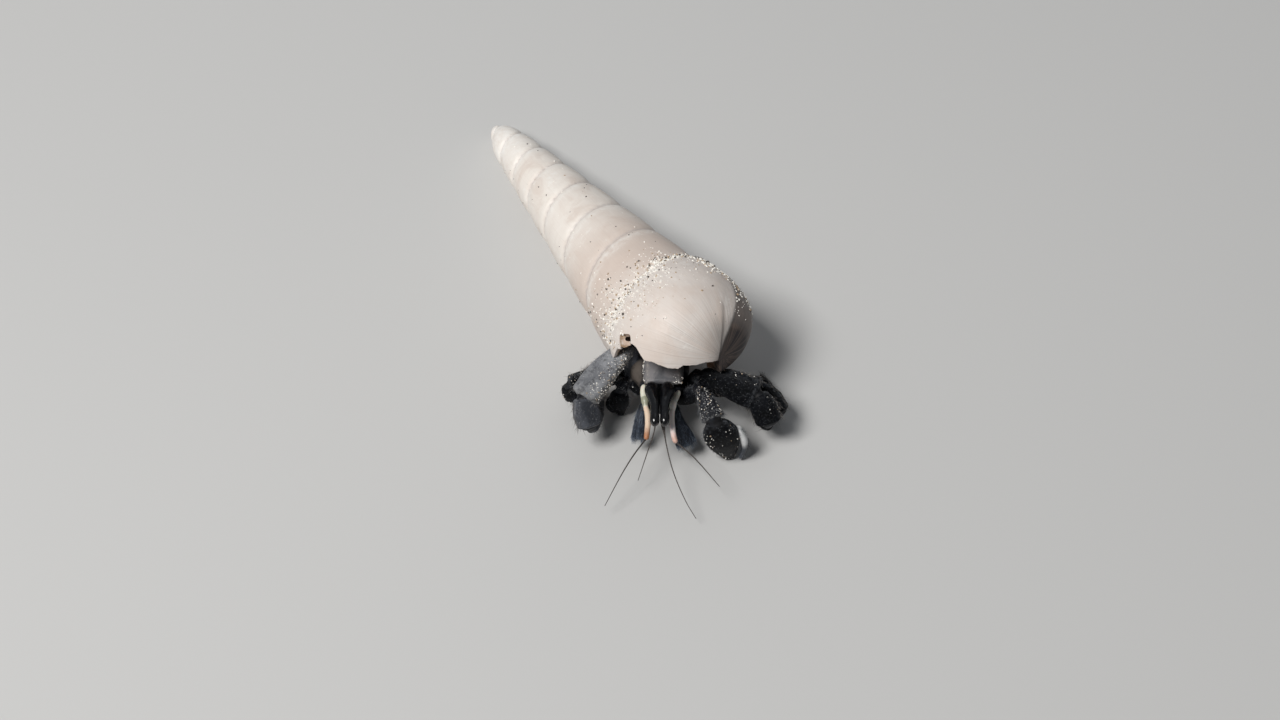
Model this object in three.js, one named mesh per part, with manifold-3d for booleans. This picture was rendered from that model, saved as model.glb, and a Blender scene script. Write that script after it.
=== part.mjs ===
// A land hermit crab walking in a long, smooth auger shell.
// Millimetres. +Z is up, the crab faces -Y and its left side is towards +X.
import * as THREE from 'three';
import { mergeVertices } from 'three/addons/utils/BufferGeometryUtils.js';
import Module from 'manifold-3d';

const wasm = await Module();
wasm.setup();

// ---------------------------------------------------------------- sizes

// Gap between neighbouring pieces.
const GAP = 0.3;

// Shell, in its own frame: z runs along the axis from the worn tip to the mouth, y is up.
const SHELL = {
  tip: [-21.6, 43.81, 2.3],
  headingDegrees: 29.66,
  slopeDegrees: 9,
  tipRadius: 2.4,
  taper: 0.139,
  wornFrom: -2.6,
  wornTo: 4,
  spiralOffset: 37.96,
  whorlGrowth: 1.1333,
  lastSuture: 50.28,
  sutureDepth: 0.28,
  sutureWidth: 0.07,
  whorlBulge: 0.18,
  bodySwell: 1,
  bodySwellRun: 0.1,
  frontTo: 66.4,
  wall: 1.1,
  sides: 32,
  rings: 34,
};

// How the front of the body whorl rounds off: full above and to the left of the axis,
// and lean below on the right, where the whorl narrows towards its canal.
const FRONT_FULL = { from: 55.1, power: 1.85, root: 0.393 };
const FRONT_LEAN = { from: 50, power: 1.15, root: 1 };
const LEAN_TURNS = [0.185, 0.4];

// Mouth of the shell: the quarter of the last whorl below and left of these limits is open.
// Its roof, the outer lip, drops a little from left to right.
const MOUTH = { back: 53.5, topLeft: 3.8, topRight: 2, right: 3, corner: 2.4, reach: 16 };

// Bite broken out of the lip where it meets the last suture.
const NOTCH = { centre: [-10, 4.5, 58], radii: [1.7, 1.5, 1.5] };

// Hollow behind the mouth, where the trunk sits.
const HOLLOW = { centre: [-4.2, -2.6, 54], radii: [5.2, 5.4, 4.2] };

// ---------------------------------------------------------------- materials

function finish(color, roughness) {
  return new THREE.MeshStandardMaterial({ color, roughness, metalness: 0 });
}

const SHELL_CREAM = finish(0xe6ddd0, 0.45);
const PLATE_GREY = finish(0x7d8186, 0.5);
const LEG_SLATE = finish(0x3e444c, 0.45);
const CLAW_BLUE = finish(0x2f3846, 0.35);
const CLAW_PALE = finish(0xb9c2cc, 0.4);
const FLANK_BROWN = finish(0x6b5f56, 0.6);
const STALK_BLACK = finish(0x0e0f12, 0.25);
const EYE_BLACK = finish(0x08090b, 0.1);
const PEDUNCLE_CREAM = finish(0xe4cbb0, 0.4);
const FEELER_BROWN = finish(0x3a3430, 0.5);
const SETA_BLUE = finish(0x4a5563, 0.7);

// ---------------------------------------------------------------- geometry helpers

function vector(point) {
  return new THREE.Vector3(...point);
}

// Turns a closed three.js geometry into a solid that can be joined and cut.
function solidFrom(geometry) {
  const bare = geometry.index ? geometry.clone() : geometry;
  bare.deleteAttribute('normal');
  bare.deleteAttribute('uv');
  const merged = mergeVertices(bare, 1e-5);
  const index = merged.index.array;
  const position = merged.attributes.position.array;
  const kept = [];
  for (let i = 0; i < index.length; i += 3) {
    const [a, b, c] = [index[i], index[i + 1], index[i + 2]];
    if (a !== b && b !== c && c !== a) kept.push(a, b, c);
  }
  const mesh = new wasm.Mesh({
    numProp: 3,
    vertProperties: new Float32Array(position),
    triVerts: new Uint32Array(kept),
  });
  return new wasm.Manifold(mesh);
}

// Turns a solid back into a geometry.
function geometryFrom(solid) {
  const mesh = solid.getMesh();
  const geometry = new THREE.BufferGeometry();
  geometry.setAttribute('position', new THREE.BufferAttribute(mesh.vertProperties, 3));
  geometry.setIndex(new THREE.BufferAttribute(mesh.triVerts, 1));
  geometry.computeVertexNormals();
  return geometry;
}

// The biggest of the bodies that a cut leaves.
function largestBody(solid) {
  const bodies = solid.decompose();
  return bodies.reduce((best, body) => (body.volume() > best.volume() ? body : best));
}

// Cuts off whatever dips below the floor, so that a foot stands on a small flat.
function settle(solid) {
  return solid.trimByPlane([0, 0, 1], 0);
}

// Blends evenly spaced sizes along 0..1.
function sizeAt(sizes, t) {
  const place = Math.min(Math.max(t, 0), 1) * (sizes.length - 1);
  const i = Math.min(Math.floor(place), sizes.length - 2);
  return THREE.MathUtils.lerp(sizes[i], sizes[i + 1], THREE.MathUtils.smoothstep(place - i, 0, 1));
}

// Rounds an end: 0 at the pole, 1 once past the given share of the length.
function endRounding(t, share) {
  const left = 1 - Math.min(t / share, 1);
  return Math.sqrt(Math.max(1 - left * left, 0));
}

// A closed limb segment: a lathe of unit radius laid along a path, with an oval section.
// across and deep are full sizes along the path, and faces points along the deep side.
function limb({ path, across, deep, faces, rings = 7, sides = 9, ends = [0.2, 0.2] }, grow = 0) {
  const points = path.map(vector);
  const first = points[0].clone().sub(points[1]).setLength(grow);
  const last = points.at(-1).clone().sub(points.at(-2)).setLength(grow);
  points[0].add(first);
  points.at(-1).add(last);
  const curve = points.length > 2 ? new THREE.CatmullRomCurve3(points) : new THREE.LineCurve3(...points);
  const profile = [];
  for (let i = 0; i <= rings; i += 1) {
    const t = 0.5 - 0.5 * Math.cos((Math.PI * i) / rings);
    const rounding = endRounding(t, ends[0]) * endRounding(1 - t, ends[1]);
    profile.push(new THREE.Vector2(i === 0 || i === rings ? 0 : rounding, t));
  }
  const geometry = new THREE.LatheGeometry(profile, sides);
  const position = geometry.attributes.position;
  const wanted = vector(faces).normalize();
  for (let i = 0; i < position.count; i += 1) {
    const t = position.getY(i);
    const centre = curve.getPointAt(t);
    const along = curve.getTangentAt(t);
    const deepAxis = wanted.clone().addScaledVector(along, -wanted.dot(along)).normalize();
    const acrossAxis = new THREE.Vector3().crossVectors(along, deepAxis);
    centre.addScaledVector(acrossAxis, position.getX(i) * (sizeAt(across, t) / 2 + grow));
    centre.addScaledVector(deepAxis, position.getZ(i) * (sizeAt(deep, t) / 2 + grow));
    position.setXYZ(i, centre.x, centre.y, centre.z);
  }
  return geometry;
}

// ---------------------------------------------------------------- shell

// Whorls counted from the last suture: below 0 is the body whorl.
function whorlNumber(z, turn) {
  const reach = (SHELL.lastSuture + SHELL.spiralOffset) / (z + SHELL.spiralOffset);
  return Math.log(reach) / Math.log(SHELL.whorlGrowth) - turn;
}

// Share of the radius left at a height, as the front rounds off to the axis.
function frontShare(z, { from, power, root }) {
  const past = THREE.MathUtils.clamp((z - from) / (SHELL.frontTo - from), 0, 1);
  return (1 - past ** power) ** root;
}

// Distance from the axis to the face of the whorl that a turn count leads to.
function whorlRadius(z, turn) {
  const whorl = whorlNumber(z, turn);
  let radius = SHELL.tipRadius + SHELL.taper * z;
  if (whorl > 0) {
    const share = whorl - Math.floor(whorl);
    const toSuture = Math.min(share, 1 - share);
    radius += SHELL.whorlBulge * Math.sin(Math.PI * share);
    radius -= SHELL.sutureDepth * Math.exp(-((toSuture / SHELL.sutureWidth) ** 2));
  } else {
    radius += SHELL.bodySwell * (1 - Math.exp(whorl / SHELL.bodySwellRun));
    radius -= SHELL.sutureDepth * Math.exp(-((whorl / SHELL.sutureWidth) ** 2));
  }
  if (z < SHELL.wornTo) {
    const left = (SHELL.wornTo - z) / (SHELL.wornTo - SHELL.wornFrom);
    radius *= Math.sqrt(Math.max(1 - left * left, 0));
  }
  const lean = THREE.MathUtils.smoothstep(turn, ...LEAN_TURNS);
  return radius * THREE.MathUtils.lerp(frontShare(z, FRONT_FULL), frontShare(z, FRONT_LEAN), lean);
}

// Distance from the axis to the shell's outer face. The turn is 0 on top, grows to the right
// and runs from -0.5 to 0.5. Low on the left the old whorl swells into the new one.
function shellRadius(z, turn) {
  const joined = THREE.MathUtils.smoothstep(-turn, 0.25, 0.499);
  return THREE.MathUtils.lerp(whorlRadius(z, turn), whorlRadius(z, turn + 1), joined);
}

// A lathe along +Z whose radius is a function of the height and of the turn round the axis.
function spun(from, to, rings, sides, radiusAt) {
  const profile = [];
  for (let i = 0; i <= rings; i += 1) {
    const z = from + (to - from) * (0.5 - 0.5 * Math.cos((Math.PI * i) / rings)) * 0.35
      + (to - from) * (i / rings) * 0.65;
    profile.push(new THREE.Vector2(i === 0 || i === rings ? 0 : 1, z));
  }
  const geometry = new THREE.LatheGeometry(profile, sides);
  const position = geometry.attributes.position;
  for (let i = 0; i < position.count; i += 1) {
    const [x, z, y] = [position.getX(i), position.getY(i), -position.getZ(i)];
    const unit = Math.hypot(x, y) > 0.5 ? radiusAt(z, Math.atan2(x, y) / (2 * Math.PI)) : 0;
    position.setXYZ(i, x * unit, y * unit, z);
  }
  return geometry;
}

// What the mouth and its inner hollow remove; shrink draws every wall in.
function mouthCutter(shrink) {
  const right = MOUTH.right - shrink;
  const topRight = MOUTH.topRight - shrink;
  const outline = new THREE.Shape();
  outline.moveTo(-MOUTH.reach, -MOUTH.reach);
  outline.lineTo(right, -MOUTH.reach);
  outline.lineTo(right, topRight - MOUTH.corner);
  outline.quadraticCurveTo(right, topRight, right - MOUTH.corner, topRight);
  outline.lineTo(-MOUTH.reach, MOUTH.topLeft - shrink);
  outline.closePath();
  const depth = SHELL.frontTo + MOUTH.reach - MOUTH.back;
  const opening = new THREE.ExtrudeGeometry(outline, { depth, bevelEnabled: false, curveSegments: 6 });
  opening.translate(0, 0, MOUTH.back + shrink);

  const inner = (z, turn) => Math.max(shellRadius(z, turn) - SHELL.wall - shrink, 0.2);
  const vault = spun(MOUTH.back + shrink, SHELL.frontTo - SHELL.wall, 10, 24, inner);
  const keep = new THREE.BoxGeometry(2 * MOUTH.reach, 2 * MOUTH.reach, 2 * MOUTH.reach);
  keep.translate(right - MOUTH.reach, 0, MOUTH.back + shrink + MOUTH.reach);

  const [hollow, notch] = [HOLLOW, NOTCH].map(({ centre, radii }) => {
    const ball = new THREE.SphereGeometry(1, 12, 7);
    ball.scale(...radii.map((radius) => radius - shrink));
    ball.translate(...centre);
    return solidFrom(ball);
  });
  return solidFrom(opening)
    .add(solidFrom(vault).intersect(solidFrom(keep)))
    .add(hollow)
    .add(notch);
}

// The shell's own frame placed on the floor.
function shellMatrix() {
  const heading = THREE.MathUtils.degToRad(SHELL.headingDegrees);
  const slope = THREE.MathUtils.degToRad(SHELL.slopeDegrees);
  const front = new THREE.Vector3(
    Math.sin(heading) * Math.cos(slope),
    -Math.cos(heading) * Math.cos(slope),
    Math.sin(slope),
  );
  const side = new THREE.Vector3(Math.cos(heading), Math.sin(heading), 0);
  const up = new THREE.Vector3().crossVectors(front, side);
  return new THREE.Matrix4().makeBasis(side, up, front).setPosition(vector(SHELL.tip));
}

// The whole shell; grow thickens every wall outwards, for cutting its neighbours.
function shell(grow = 0) {
  const outer = spun(
    SHELL.wornFrom - grow,
    SHELL.frontTo + grow,
    SHELL.rings,
    SHELL.sides,
    (z, turn) => shellRadius(Math.min(Math.max(z, SHELL.wornFrom + 0.02), SHELL.frontTo - 0.02), turn) + grow,
  );
  const cut = solidFrom(outer).subtract(mouthCutter(grow));
  return geometryFrom(largestBody(cut)).applyMatrix4(shellMatrix());
}

// ---------------------------------------------------------------- trunk and head

const UP = [0, 0, 1];

// Hard front plate of the back, arched across.
const SHIELD = {
  path: [[3.35, -13.6, 10.9], [3.4, -10.6, 11.3], [3.3, -6.4, 11.2]],
  across: [5.3, 5.9, 5.9, 5.2, 4.2],
  deep: [1.1, 1.3, 1.3, 1.1],
  faces: UP,
  sides: 16,
  rings: 8,
  ends: [0.08, 0.2],
};
const SHIELD_ARCH = 0.075;

function shield(grow = 0) {
  const geometry = limb(SHIELD, grow);
  const position = geometry.attributes.position;
  const middle = SHIELD.path[1][0];
  for (let i = 0; i < position.count; i += 1) {
    const offset = position.getX(i) - middle;
    position.setZ(i, position.getZ(i) - SHIELD_ARCH * offset * offset);
  }
  return geometry;
}

const THORAX = {
  path: [[2.9, -14, 7.9], [2.8, -9, 7.9], [2.9, -3.6, 8.2]],
  across: [4.2, 6, 8.9, 8, 5.4],
  deep: [3, 4.8, 5.4, 5.2, 4.2],
  faces: UP,
  sides: 14,
  rings: 7,
  ends: [0.16, 0.3],
};

// Head parts of one side; side is +1 for the crab's left.
const MIDLINE = 2.85;
const EYE_SPACING = 1.02;

function eyestalk(side) {
  const x = MIDLINE + side * EYE_SPACING;
  return {
    path: [[x + side * 0.15, -13, 10.5], [x + side * 0.1, -14.9, 10.6], [x - side * 0.25, -17, 10.6],
      [x - side * 0.3, -19.3, 10.2]],
    across: [1.7, 2.1, 1.6, 1.28, 1.3],
    deep: [1.6, 2.1, 1.7, 1.45, 1.42],
    faces: UP,
    rings: 7,
    ends: [0.2, 0.06],
  };
}

function cornea(side) {
  const x = MIDLINE + side * (EYE_SPACING - 0.3);
  return {
    path: [[x, -19.5, 10.15], [x, -20.8, 9.9]],
    across: [1.3, 1.4, 1.32],
    deep: [1.42, 1.52, 1.4],
    faces: UP,
    rings: 6,
    ends: [0.1, 0.7],
  };
}

const LEFT_ANTENNA = {
  peduncle: {
    path: [[5.8, -13.3, 9], [5.5, -14.2, 8.8], [4.85, -15.5, 8.5], [4.75, -16.4, 8.3],
      [4.6, -17.5, 8], [4.7, -19.1, 7.6], [4.95, -20.7, 7.2], [5.25, -21.6, 7]],
    across: [0.9, 0.86, 0.92, 1.08, 0.74, 0.86, 0.86, 0.83, 0.8, 0.78, 0.72],
  },
  flagellum: [[5.35, -21.9, 6.9], [7.9, -23.6, 6], [11.5, -27.8, 4.7]],
};
const RIGHT_ANTENNA = {
  peduncle: {
    path: [[0.62, -12.4, 9.2], [0.5, -13.6, 8.9], [0.72, -14.9, 8.6], [0.82, -15.8, 8.3],
      [1.1, -17, 8.05], [1.16, -18.3, 7.75], [1.03, -19.8, 7.35], [0.88, -21, 7]],
    across: [1, 0.95, 1.02, 1.16, 0.78, 0.88, 0.9, 0.88, 0.84, 0.8, 0.74],
  },
  flagellum: [[0.75, -21.3, 6.9], [-0.75, -23.1, 6.5], [-2.4, -25.7, 5.6], [-5.1, -29.7, 2.6]],
};
const LEFT_ANTENNULE = [
  [3.4, -15, 8.2], [3.4, -19, 7.6], [4.65, -24.7, 5.1], [6.6, -29.2, 3.1], [8.1, -31.5, 1.9],
];
const RIGHT_ANTENNULE = [[2.3, -15, 8.2], [2.1, -19.4, 7.4], [1.05, -22.5, 5.9], [-0.3, -26.1, 3.9]];

function peduncle({ path, across }) {
  return { path, across, deep: across, faces: UP, rings: 10, sides: 8, ends: [0.08, 0.05] };
}

function flagellum(path) {
  const across = [0.62, 0.55, 0.5];
  return { path, across, deep: across, faces: UP, rings: 9, sides: 6, ends: [0.02, 0.02] };
}

function antennule(path) {
  const across = [1, 0.85, 0.6, 0.52, 0.5];
  return { path, across, deep: across, faces: UP, rings: 11, sides: 6, ends: [0.04, 0.02] };
}

// Third maxillipeds, flaring into a setose brush below the feelers.
function maxilliped(path, spread) {
  return {
    path,
    across: [1.1, 1.5, spread * 0.8, spread],
    deep: [1.2, 1.3, 1.3, 1],
    faces: [0, -0.6, 0.8],
    ends: [0.2, 0.12],
  };
}
const LEFT_MAXILLIPED = maxilliped([[4.9, -13.9, 7.2], [5.7, -16.6, 5.3], [6.9, -19.1, 3.1]], 3.3);
const RIGHT_MAXILLIPED = maxilliped([[0.7, -13.9, 7.2], [0, -16.1, 5.3], [-0.3, -17.9, 3.2]], 2.2);

// ---------------------------------------------------------------- legs and claws

// Each walking leg: five segments from the trunk to the tip, given by its joints.
const LEGS = {
  leg2_right: {
    joints: [[-0.9, -9.1, 5.2], [-1.4, -6.7, 11.5], [-8.2, -14.5, 8.8], [-7.3, -17, 5.2],
      [-6.2, -11.9, 2.5], [-5.4, -6.2, 0]],
    faces: [-0.5, 0.35, 0.8],
    merusFaces: [0.76, -0.64, 0.1],
    girth: 1,
  },
  leg3_right: {
    joints: [[-0.6, -6.6, 4.6], [-2.6, -7.6, 5.2], [-10.4, -9.4, 5.2], [-9.6, -9.8, 2.8],
      [-8.9, -6.2, 1.6], [-7.4, -1.4, 0]],
    faces: [-0.4, 0.2, 0.9],
    girth: 0.76,
  },
  leg2_left: {
    joints: [[6.9, -10, 5.4], [8.7, -10.8, 9.2], [17, -14.2, 8.9], [18.9, -16.4, 5.2],
      [17.4, -11.9, 2.5], [16.2, -6.4, 0]],
    faces: [0.5, 0.35, 0.8],
    girth: 1,
  },
  leg3_left: {
    joints: [[7.1, -8.6, 4.6], [8.9, -10.6, 5.8], [18, -10.5, 6.2], [20.7, -12.9, 3.4],
      [19.6, -8.3, 1.8], [18, -3, 0]],
    faces: [0.3, 0.2, 0.9],
    girth: 0.8,
  },
};

// Full sizes of a second leg's segments, from base to tip.
const LEG_SEGMENTS = [
  { name: 'ischium', across: [2, 2.3, 2.2], deep: [2.2, 2.5, 2.6], ends: [0.25, 0.12], bow: 0 },
  { name: 'merus', across: [1.8, 2.2, 2.4, 2.3], deep: [2.3, 3.6, 4.6, 4.5], ends: [0.1, 0.08], bow: 0.4 },
  { name: 'carpus', across: [2.3, 2.8, 2.6], deep: [3.1, 4, 3.7], ends: [0.12, 0.12], bow: 0.25 },
  { name: 'propodus', across: [2, 2.2, 1.7], deep: [2.7, 2.9, 2.1], ends: [0.12, 0.1], bow: 0.2 },
  { name: 'dactyl', across: [1.4, 1.4, 1, 0.6], deep: [1.8, 1.7, 1.2, 0.6], ends: [0.1, 0.06], bow: 0.3 },
];

// How far a segment runs past its joint, before its neighbour is cut out of it.
const JOINT_REACH = 0.15;

// One segment between two joints, bowed a little towards its back.
function legSegment(leg, i) {
  const shape = LEG_SEGMENTS[i];
  const from = vector(leg.joints[i]);
  const to = vector(leg.joints[i + 1]);
  const along = to.clone().sub(from).normalize();
  const middle = from.clone().lerp(to, 0.5).addScaledVector(vector(leg.faces).normalize(), shape.bow);
  from.addScaledVector(along, -JOINT_REACH);
  if (i < LEG_SEGMENTS.length - 1) to.addScaledVector(along, JOINT_REACH);
  return {
    path: [from.toArray(), middle.toArray(), to.toArray()],
    across: shape.across.map((size) => size * leg.girth),
    deep: shape.deep.map((size) => size * leg.girth),
    faces: shape.name === 'merus' && leg.merusFaces ? leg.merusFaces : leg.faces,
    ends: shape.ends,
  };
}

// Claw limbs: the left one is the larger, and its fingers point down to the floor.
const CLAWS = {
  cheliped_left: {
    merus: {
      path: [[5.2, -11.8, 5.4], [7.2, -12.7, 7], [8.5, -13.3, 9.3]],
      across: [2, 2.4, 2.2],
      deep: [2, 2.4, 2.2],
      faces: [0, -1, 0.5],
    },
    carpus: {
      path: [[8.5, -13.4, 10], [9.5, -16.3, 10.2], [10.7, -19.1, 9.3]],
      across: [0.7, 1.7, 2.8, 3.5],
      deep: [0.9, 1.9, 2.6, 2.4],
      faces: [0, -0.3, 1],
      ends: [0.1, 0.1],
    },
    palm: {
      path: [[10.9, -19.3, 8.9], [11.7, -19.3, 6.4], [12.5, -19.1, 3.1], [13.2, -18.7, -0.4]],
      across: [2.9, 4.9, 5.2, 4.2, 2.7, 1],
      deep: [2.1, 2.9, 2.9, 2.3, 1.4, 0.7],
      faces: [0, -1, 0.15],
      sides: 12,
      rings: 9,
      ends: [0.16, 0.06],
    },
    dactyl: {
      path: [[14.1, -18.6, 7], [15.1, -18.8, 4.8], [15.2, -19, 2.6], [14.6, -19.2, 0.4]],
      across: [0.9, 1.1, 0.9, 0.6],
      deep: [1.5, 1.7, 1.3, 0.7],
      faces: [0, -1, 0.15],
      ends: [0.14, 0.08],
    },
  },
  cheliped_right: {
    merus: {
      path: [[0.6, -10.8, 5.4], [-0.6, -10.1, 6.2], [-1.6, -9.8, 6.8]],
      across: [1.7, 2, 1.8],
      deep: [1.7, 2, 1.8],
      faces: [0, -1, 0.5],
    },
    carpus: {
      path: [[-1.7, -9.8, 6.8], [-2.3, -10.1, 6.7], [-2.8, -10.6, 6]],
      across: [1.3, 1.9, 2.2],
      deep: [1.4, 1.9, 2],
      faces: [0, -0.3, 1],
    },
    palm: {
      path: [[-2.9, -10.7, 5.8], [-3.1, -11, 4], [-3, -10.8, 2], [-2.8, -10.3, -0.35]],
      across: [2, 2.9, 2.9, 2.2, 1.4, 0.7],
      deep: [1.4, 2, 2, 1.6, 1.1, 0.7],
      faces: [0, -1, 0.15],
      sides: 10,
      rings: 8,
      ends: [0.16, 0.06],
    },
    dactyl: {
      path: [[-4.1, -10.6, 4.3], [-4.6, -10.7, 2.6], [-4.2, -10.5, 1.2], [-3.7, -10.2, 0.3]],
      across: [0.9, 1, 0.8, 0.6],
      deep: [1, 1.1, 0.9, 0.6],
      faces: [0, -1, 0.15],
      ends: [0.14, 0.08],
    },
  },
};

// ---------------------------------------------------------------- assembly

const crab = new THREE.Group();
const placed = [];

// Adds a named piece. build(grow) gives its closed geometry, and every piece that is
// already placed is cut out of it with the gap between pieces.
function place(name, material, build) {
  let solid = solidFrom(build(0));
  const box = new THREE.Box3().setFromBufferAttribute(geometryFrom(solid).attributes.position);
  const near = placed.filter((other) => other.box.intersectsBox(box));
  near.forEach((other) => {
    solid = solid.subtract(other.grown);
  });
  const geometry = geometryFrom(settle(near.length > 0 ? largestBody(solid) : solid));
  const mesh = new THREE.Mesh(geometry, material);
  mesh.name = name;
  crab.add(mesh);
  const grown = solidFrom(build(GAP));
  const grownBox = new THREE.Box3().setFromBufferAttribute(geometryFrom(grown).attributes.position);
  placed.push({ grown, box: grownBox });
}

place('shell', SHELL_CREAM, shell);
place('shield', PLATE_GREY, shield);
place('thorax', FLANK_BROWN, (grow) => limb(THORAX, grow));

const SIDES = [
  { side: 1, label: 'left', antenna: LEFT_ANTENNA, antennule: LEFT_ANTENNULE, maxilliped: LEFT_MAXILLIPED },
  { side: -1, label: 'right', antenna: RIGHT_ANTENNA, antennule: RIGHT_ANTENNULE, maxilliped: RIGHT_MAXILLIPED },
];
SIDES.forEach(({ side, label, antenna, antennule: feeler, maxilliped: mouthpart }) => {
  place(`eyestalk_${label}`, STALK_BLACK, (grow) => limb(eyestalk(side), grow));
  place(`cornea_${label}`, EYE_BLACK, (grow) => limb(cornea(side), grow));
  place(`antenna_${label}_peduncle`, PEDUNCLE_CREAM, (grow) => limb(peduncle(antenna.peduncle), grow));
  place(`antenna_${label}_flagellum`, FEELER_BROWN, (grow) => limb(flagellum(antenna.flagellum), grow));
  place(`antennule_${label}`, FEELER_BROWN, (grow) => limb(antennule(feeler), grow));
  place(`maxilliped_${label}`, SETA_BLUE, (grow) => limb(mouthpart, grow));
});

Object.entries(CLAWS).forEach(([claw, parts]) => {
  Object.entries(parts).forEach(([part, shape]) => {
    const material = claw === 'cheliped_left' && part === 'dactyl' ? CLAW_PALE : CLAW_BLUE;
    place(`${claw}_${part}`, material, (grow) => limb(shape, grow));
  });
});

Object.entries(LEGS).forEach(([name, leg]) => {
  LEG_SEGMENTS.forEach((segment, i) => {
    place(`${name}_${segment.name}`, LEG_SLATE, (grow) => limb(legSegment(leg, i), grow));
  });
});

// The origin is the middle of the footprint, on the floor.
const extent = new THREE.Box3().setFromObject(crab);
const centre = extent.getCenter(new THREE.Vector3());
crab.position.set(-centre.x, -centre.y, 0);

const model = new THREE.Group();
model.add(crab);

export default model;
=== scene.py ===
"""Looks of a land hermit crab in a long auger shell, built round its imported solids.

Sizes are millimetres in the maker's drawing: +Z is up, the crab faces -Y and its left is +X.
"""
import logging
import math
from dataclasses import dataclass, field
from enum import Enum
from typing import Any, Callable, Optional, Sequence, Union

import bmesh
import bpy
import numpy as np
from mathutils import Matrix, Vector, noise


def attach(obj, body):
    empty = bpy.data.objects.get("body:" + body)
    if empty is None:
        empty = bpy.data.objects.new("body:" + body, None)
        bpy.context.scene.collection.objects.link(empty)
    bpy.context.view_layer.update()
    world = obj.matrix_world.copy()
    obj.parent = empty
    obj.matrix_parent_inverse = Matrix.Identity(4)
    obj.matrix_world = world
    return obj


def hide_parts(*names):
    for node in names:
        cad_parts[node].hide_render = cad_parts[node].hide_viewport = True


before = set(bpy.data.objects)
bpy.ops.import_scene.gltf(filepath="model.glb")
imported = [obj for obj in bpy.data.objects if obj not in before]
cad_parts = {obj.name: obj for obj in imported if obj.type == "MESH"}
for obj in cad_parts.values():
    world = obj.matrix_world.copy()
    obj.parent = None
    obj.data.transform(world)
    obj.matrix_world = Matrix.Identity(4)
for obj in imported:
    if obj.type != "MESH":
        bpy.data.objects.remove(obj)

LOG = logging.getLogger("hermit_crab")

MM = 0.001
DRAWING_TO_FRAME = np.array((0.939, -7.271, 0.0))
WELD = 2e-6

Point = tuple[float, float, float]
Color = tuple[float, float, float, float]
Array = np.ndarray


# ---------------------------------------------------------------- shader helpers


class Value:
    """A number socket that adds its Math nodes when it is used in an expression."""

    def __init__(self, tree: "Tree", socket: bpy.types.NodeSocket) -> None:
        """Wraps a socket of a tree."""
        self.tree = tree
        self.socket = socket

    def _math(self, operation: str, *terms: Union["Value", float]) -> "Value":
        """Adds one Math node.

        Args:
            operation: the Math node's operation.
            terms: its inputs, in order.

        Returns:
            The node's result.
        """
        inputs = dict(enumerate(terms))
        node = self.tree.add("ShaderNodeMath", {"operation": operation}, inputs)
        return Value(self.tree, node.outputs[0])

    def __add__(self, other: Union["Value", float]) -> "Value":
        """self + other."""
        return self._math("ADD", self, other)

    def __radd__(self, other: float) -> "Value":
        """other + self."""
        return self._math("ADD", other, self)

    def __sub__(self, other: Union["Value", float]) -> "Value":
        """self - other."""
        return self._math("SUBTRACT", self, other)

    def __rsub__(self, other: float) -> "Value":
        """other - self."""
        return self._math("SUBTRACT", other, self)

    def __mul__(self, other: Union["Value", float]) -> "Value":
        """self * other."""
        return self._math("MULTIPLY", self, other)

    def __rmul__(self, other: float) -> "Value":
        """other * self."""
        return self._math("MULTIPLY", other, self)

    def sine(self) -> "Value":
        """The sine of it."""
        return self._math("SINE", self)

    def above(self, low: float, high: float) -> "Value":
        """0 below low, 1 above high and a smooth step between.

        Args:
            low: where the step starts; it may be greater than high, which turns the step round.
            high: where it ends.

        Returns:
            The step.
        """
        settings = {"interpolation_type": "SMOOTHSTEP"}
        flipped = low > high
        ends = {"From Min": min(low, high), "From Max": max(low, high)}
        ends |= {"To Min": 1.0, "To Max": 0.0} if flipped else {"To Min": 0.0, "To Max": 1.0}
        node = self.tree.add("ShaderNodeMapRange", settings, {"Value": self} | ends)
        return Value(self.tree, node.outputs["Result"])


Source = Union[Value, bpy.types.NodeSocket, float, Sequence[float]]


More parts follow.
